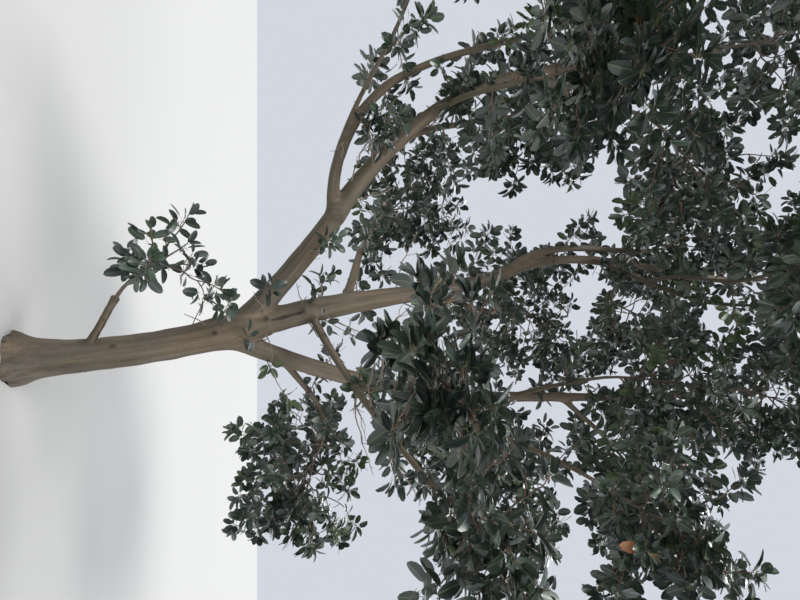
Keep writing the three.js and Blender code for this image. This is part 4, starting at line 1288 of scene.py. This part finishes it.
def bark_material():
    """Smooth bark: grey-brown with long soft streaks, tan and pale where it has flaked. Its pattern follows
    each limb, and where two limbs meet it runs into one that follows the whole tree."""
    material, tree, shader = new_material("strawberry_tree_bark", {})
    along_limb = add_attribute(tree, "grain")["Vector"]
    whole_tree = add_node(tree, "TexCoord", {}).outputs["Object"]
    seam = add_attribute(tree, "seam")["Fac"]
    noises = {}
    for name, (stretch, *pattern) in BARK_NOISES.items():
        both = [add_noise(tree, add_stretched(tree, v, stretch), *pattern) for v in (along_limb, whole_tree)]
        noises[name] = add_mix(tree, seam, *both)
    # Grey-brown bark, partly darkened as painted shade of the crown.
    colour = add_ramp(tree, noises["streaks"], BARK_BROWNS_WITH_SHADE)
    for name, strength, tints in BARK_LAYERS:
        colour = add_mix(tree, strength, colour, add_ramp(tree, noises[name], tints), "MULTIPLY")
    scars = {"Scale": SCAR_SCALE, "Vector": add_stretched(tree, along_limb, SCAR_STRETCH)}
    away = add_mix(tree, seam, add_node(tree, "TexVoronoi", scars).outputs["Distance"], (1, 1, 1, 1))
    colour = add_mix(tree, SCAR_STRENGTH, colour, add_ramp(tree, away, SCAR_TINTS), "MULTIPLY")
    # Painted shade with an olive moss tint, in patches where the bark faces down.
    colour = add_mix(tree, add_underside_shade_and_moss(tree, noises["patches"]), colour, UNDERSIDE_SHADE_AND_MOSS_COLOUR)
    # Near-black painted shade in the splits and the stub's hollow, and the knots' dark scars.
    colour = add_mix(tree, add_attribute(tree, "shade_and_scar")["Fac"], colour, SHADE_AND_SCAR_COLOUR)
    tree.links.new(colour, shader.inputs["Base Color"])
    tree.links.new(add_range(tree, noises["streaks"], *BARK_ROUGHNESS), shader.inputs["Roughness"])
    streaks = add_bump(tree, shader, noises["streaks"], *STREAK_BUMP)
    add_bump(tree, shader, noises["specks"], *SPECK_BUMP, under=streaks)
    return material


def twig_material(name, dark, pale, roughness, scale):
    """A twig's bark: one colour with a fine mottle and as fine a bump."""
    material, tree, shader = new_material(name, {"Roughness": roughness})
    place = add_node(tree, "TexCoord", {}).outputs["Object"]
    mottle = add_noise(tree, place, scale, detail=4, roughness=0.6)
    colour = add_ramp(tree, mottle, zip(TWIG_MOTTLE, (dark, pale)))
    tree.links.new(colour, shader.inputs["Base Color"])
    add_bump(tree, shader, mottle, *TWIG_BUMP)
    return material


def leaf_material(name, dark, pale, roughness):
    """A leathery leaf: one green with a slight mottle, and a fine bump that breaks up its gloss."""
    material, tree, shader = new_material(name, LEAF_COAT)
    place = add_node(tree, "TexCoord", {}).outputs["Object"]
    mottle = add_noise(tree, place, LEAF_MOTTLE_SCALE, detail=3)
    colour = add_ramp(tree, mottle, zip(LEAF_MOTTLE, (dark, pale)))
    tree.links.new(colour, shader.inputs["Base Color"])
    veins = add_noise(tree, place, VEIN_SCALE, detail=2)
    gloss = add_range(tree, veins, *(roughness + more for more in LEAF_GLOSS))
    tree.links.new(gloss, shader.inputs["Roughness"])
    add_bump(tree, shader, veins, *LEAF_BUMP)
    return material


def make_camera():
    """The camera lies on its side, as the picture was taken: its right is the tree's up."""
    data = bpy.data.cameras.new("camera")
    data.lens = CAMERA_LENS
    data.sensor_width = CAMERA_SENSOR
    data.clip_end = CAMERA_FAR
    camera = add_object("camera", data)
    pitch = math.radians(CAMERA_PITCH)
    right = Vector((0, -math.sin(pitch), math.cos(pitch)))
    up = Vector((-1, 0, 0))
    back = Vector((0, -math.cos(pitch), -math.sin(pitch)))
    camera.matrix_world = Matrix.Translation(CAMERA_PLACE) @ Matrix((right, up, back)).transposed().to_4x4()
    bpy.context.scene.camera = camera


def make_stage():
    """A plain pale floor and soft light from above and in front."""
    world = bpy.data.worlds.new("studio")
    bpy.context.scene.world = world
    world.use_nodes = True
    background = world.node_tree.nodes["Background"]
    background.inputs["Color"].default_value = WORLD_COLOUR
    background.inputs["Strength"].default_value = WORLD_LIGHT
    corners = FLOOR_SIZE * np.array([[-1, -1, 0], [1, -1, 0], [1, 1, 0], [-1, 1, 0]])
    material, *_ = new_material("floor_pale", {"Base Color": FLOOR_COLOUR, "Roughness": FLOOR_ROUGHNESS})
    floor = add_object("floor", smooth_mesh("floor", corners, [(0, 1, 2, 3)], [material]))
    for name, heading, height, strength, width in LIGHTS:
        data = bpy.data.lights.new(name, "SUN")
        data.energy = strength
        data.angle = math.radians(width)
        lamp = add_object(name, data)
        lamp.rotation_euler = Vector(-direction((heading, height))).to_track_quat("-Z", "Y").to_euler()
    bpy.context.scene.view_settings.view_transform = "Standard"


def grow_group(masses, limbs, leaves, twigs):
    """The foliage of some masses, and with one of them what grows straight on the limbs."""
    for mass in masses:
        name = mass["name"]
        rng = np.random.default_rng(LEAF_SEED + mass["index"])
        found = grow_shoots(mass, rng, twigs)
        if name == SPROUTS_WITH:
            at_fork, in_crown = grow_sprouts(limbs, rng, twigs)
            found += at_fork
            rosettes(in_crown, LEAF_OUTLINE, 0, 0, rng, leaves)
        outline = FINE_OUTLINE if name in FINE_LEAVES else LEAF_OUTLINE
        rosettes(found, outline, FLAT_LEAVES.get(name, 0), name in LOOSE_LEAVES, rng, leaves)
        dry_panicles(found, rng, twigs)


def main():
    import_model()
    make_camera()
    make_stage()

    limbs = grow_limbs()
    bark = make_bark(limbs, bark_material())
    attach(bark, "root")
    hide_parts(*limbs)

    twig_materials = [twig_material(*look) for look in TWIG_LOOKS]
    leaf_materials = [leaf_material(*look) for look in LEAF_LOOKS]
    masses = place_masses(limbs)
    for piece, members in LEAF_GROUPS.items():
        leaves, twigs = Pile(), Pile()
        grow_group([mass for mass in masses if mass["name"] in members], limbs, leaves, twigs)
        leaf_piece = leaves.joined(piece, leaf_materials)
        twig_piece = twigs.joined(piece.replace("leaves", "twigs"), twig_materials)
        for obj in (leaf_piece, twig_piece):
            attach(obj, "root")
            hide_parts(*(f"{name}_foliage" for name in members))


main()
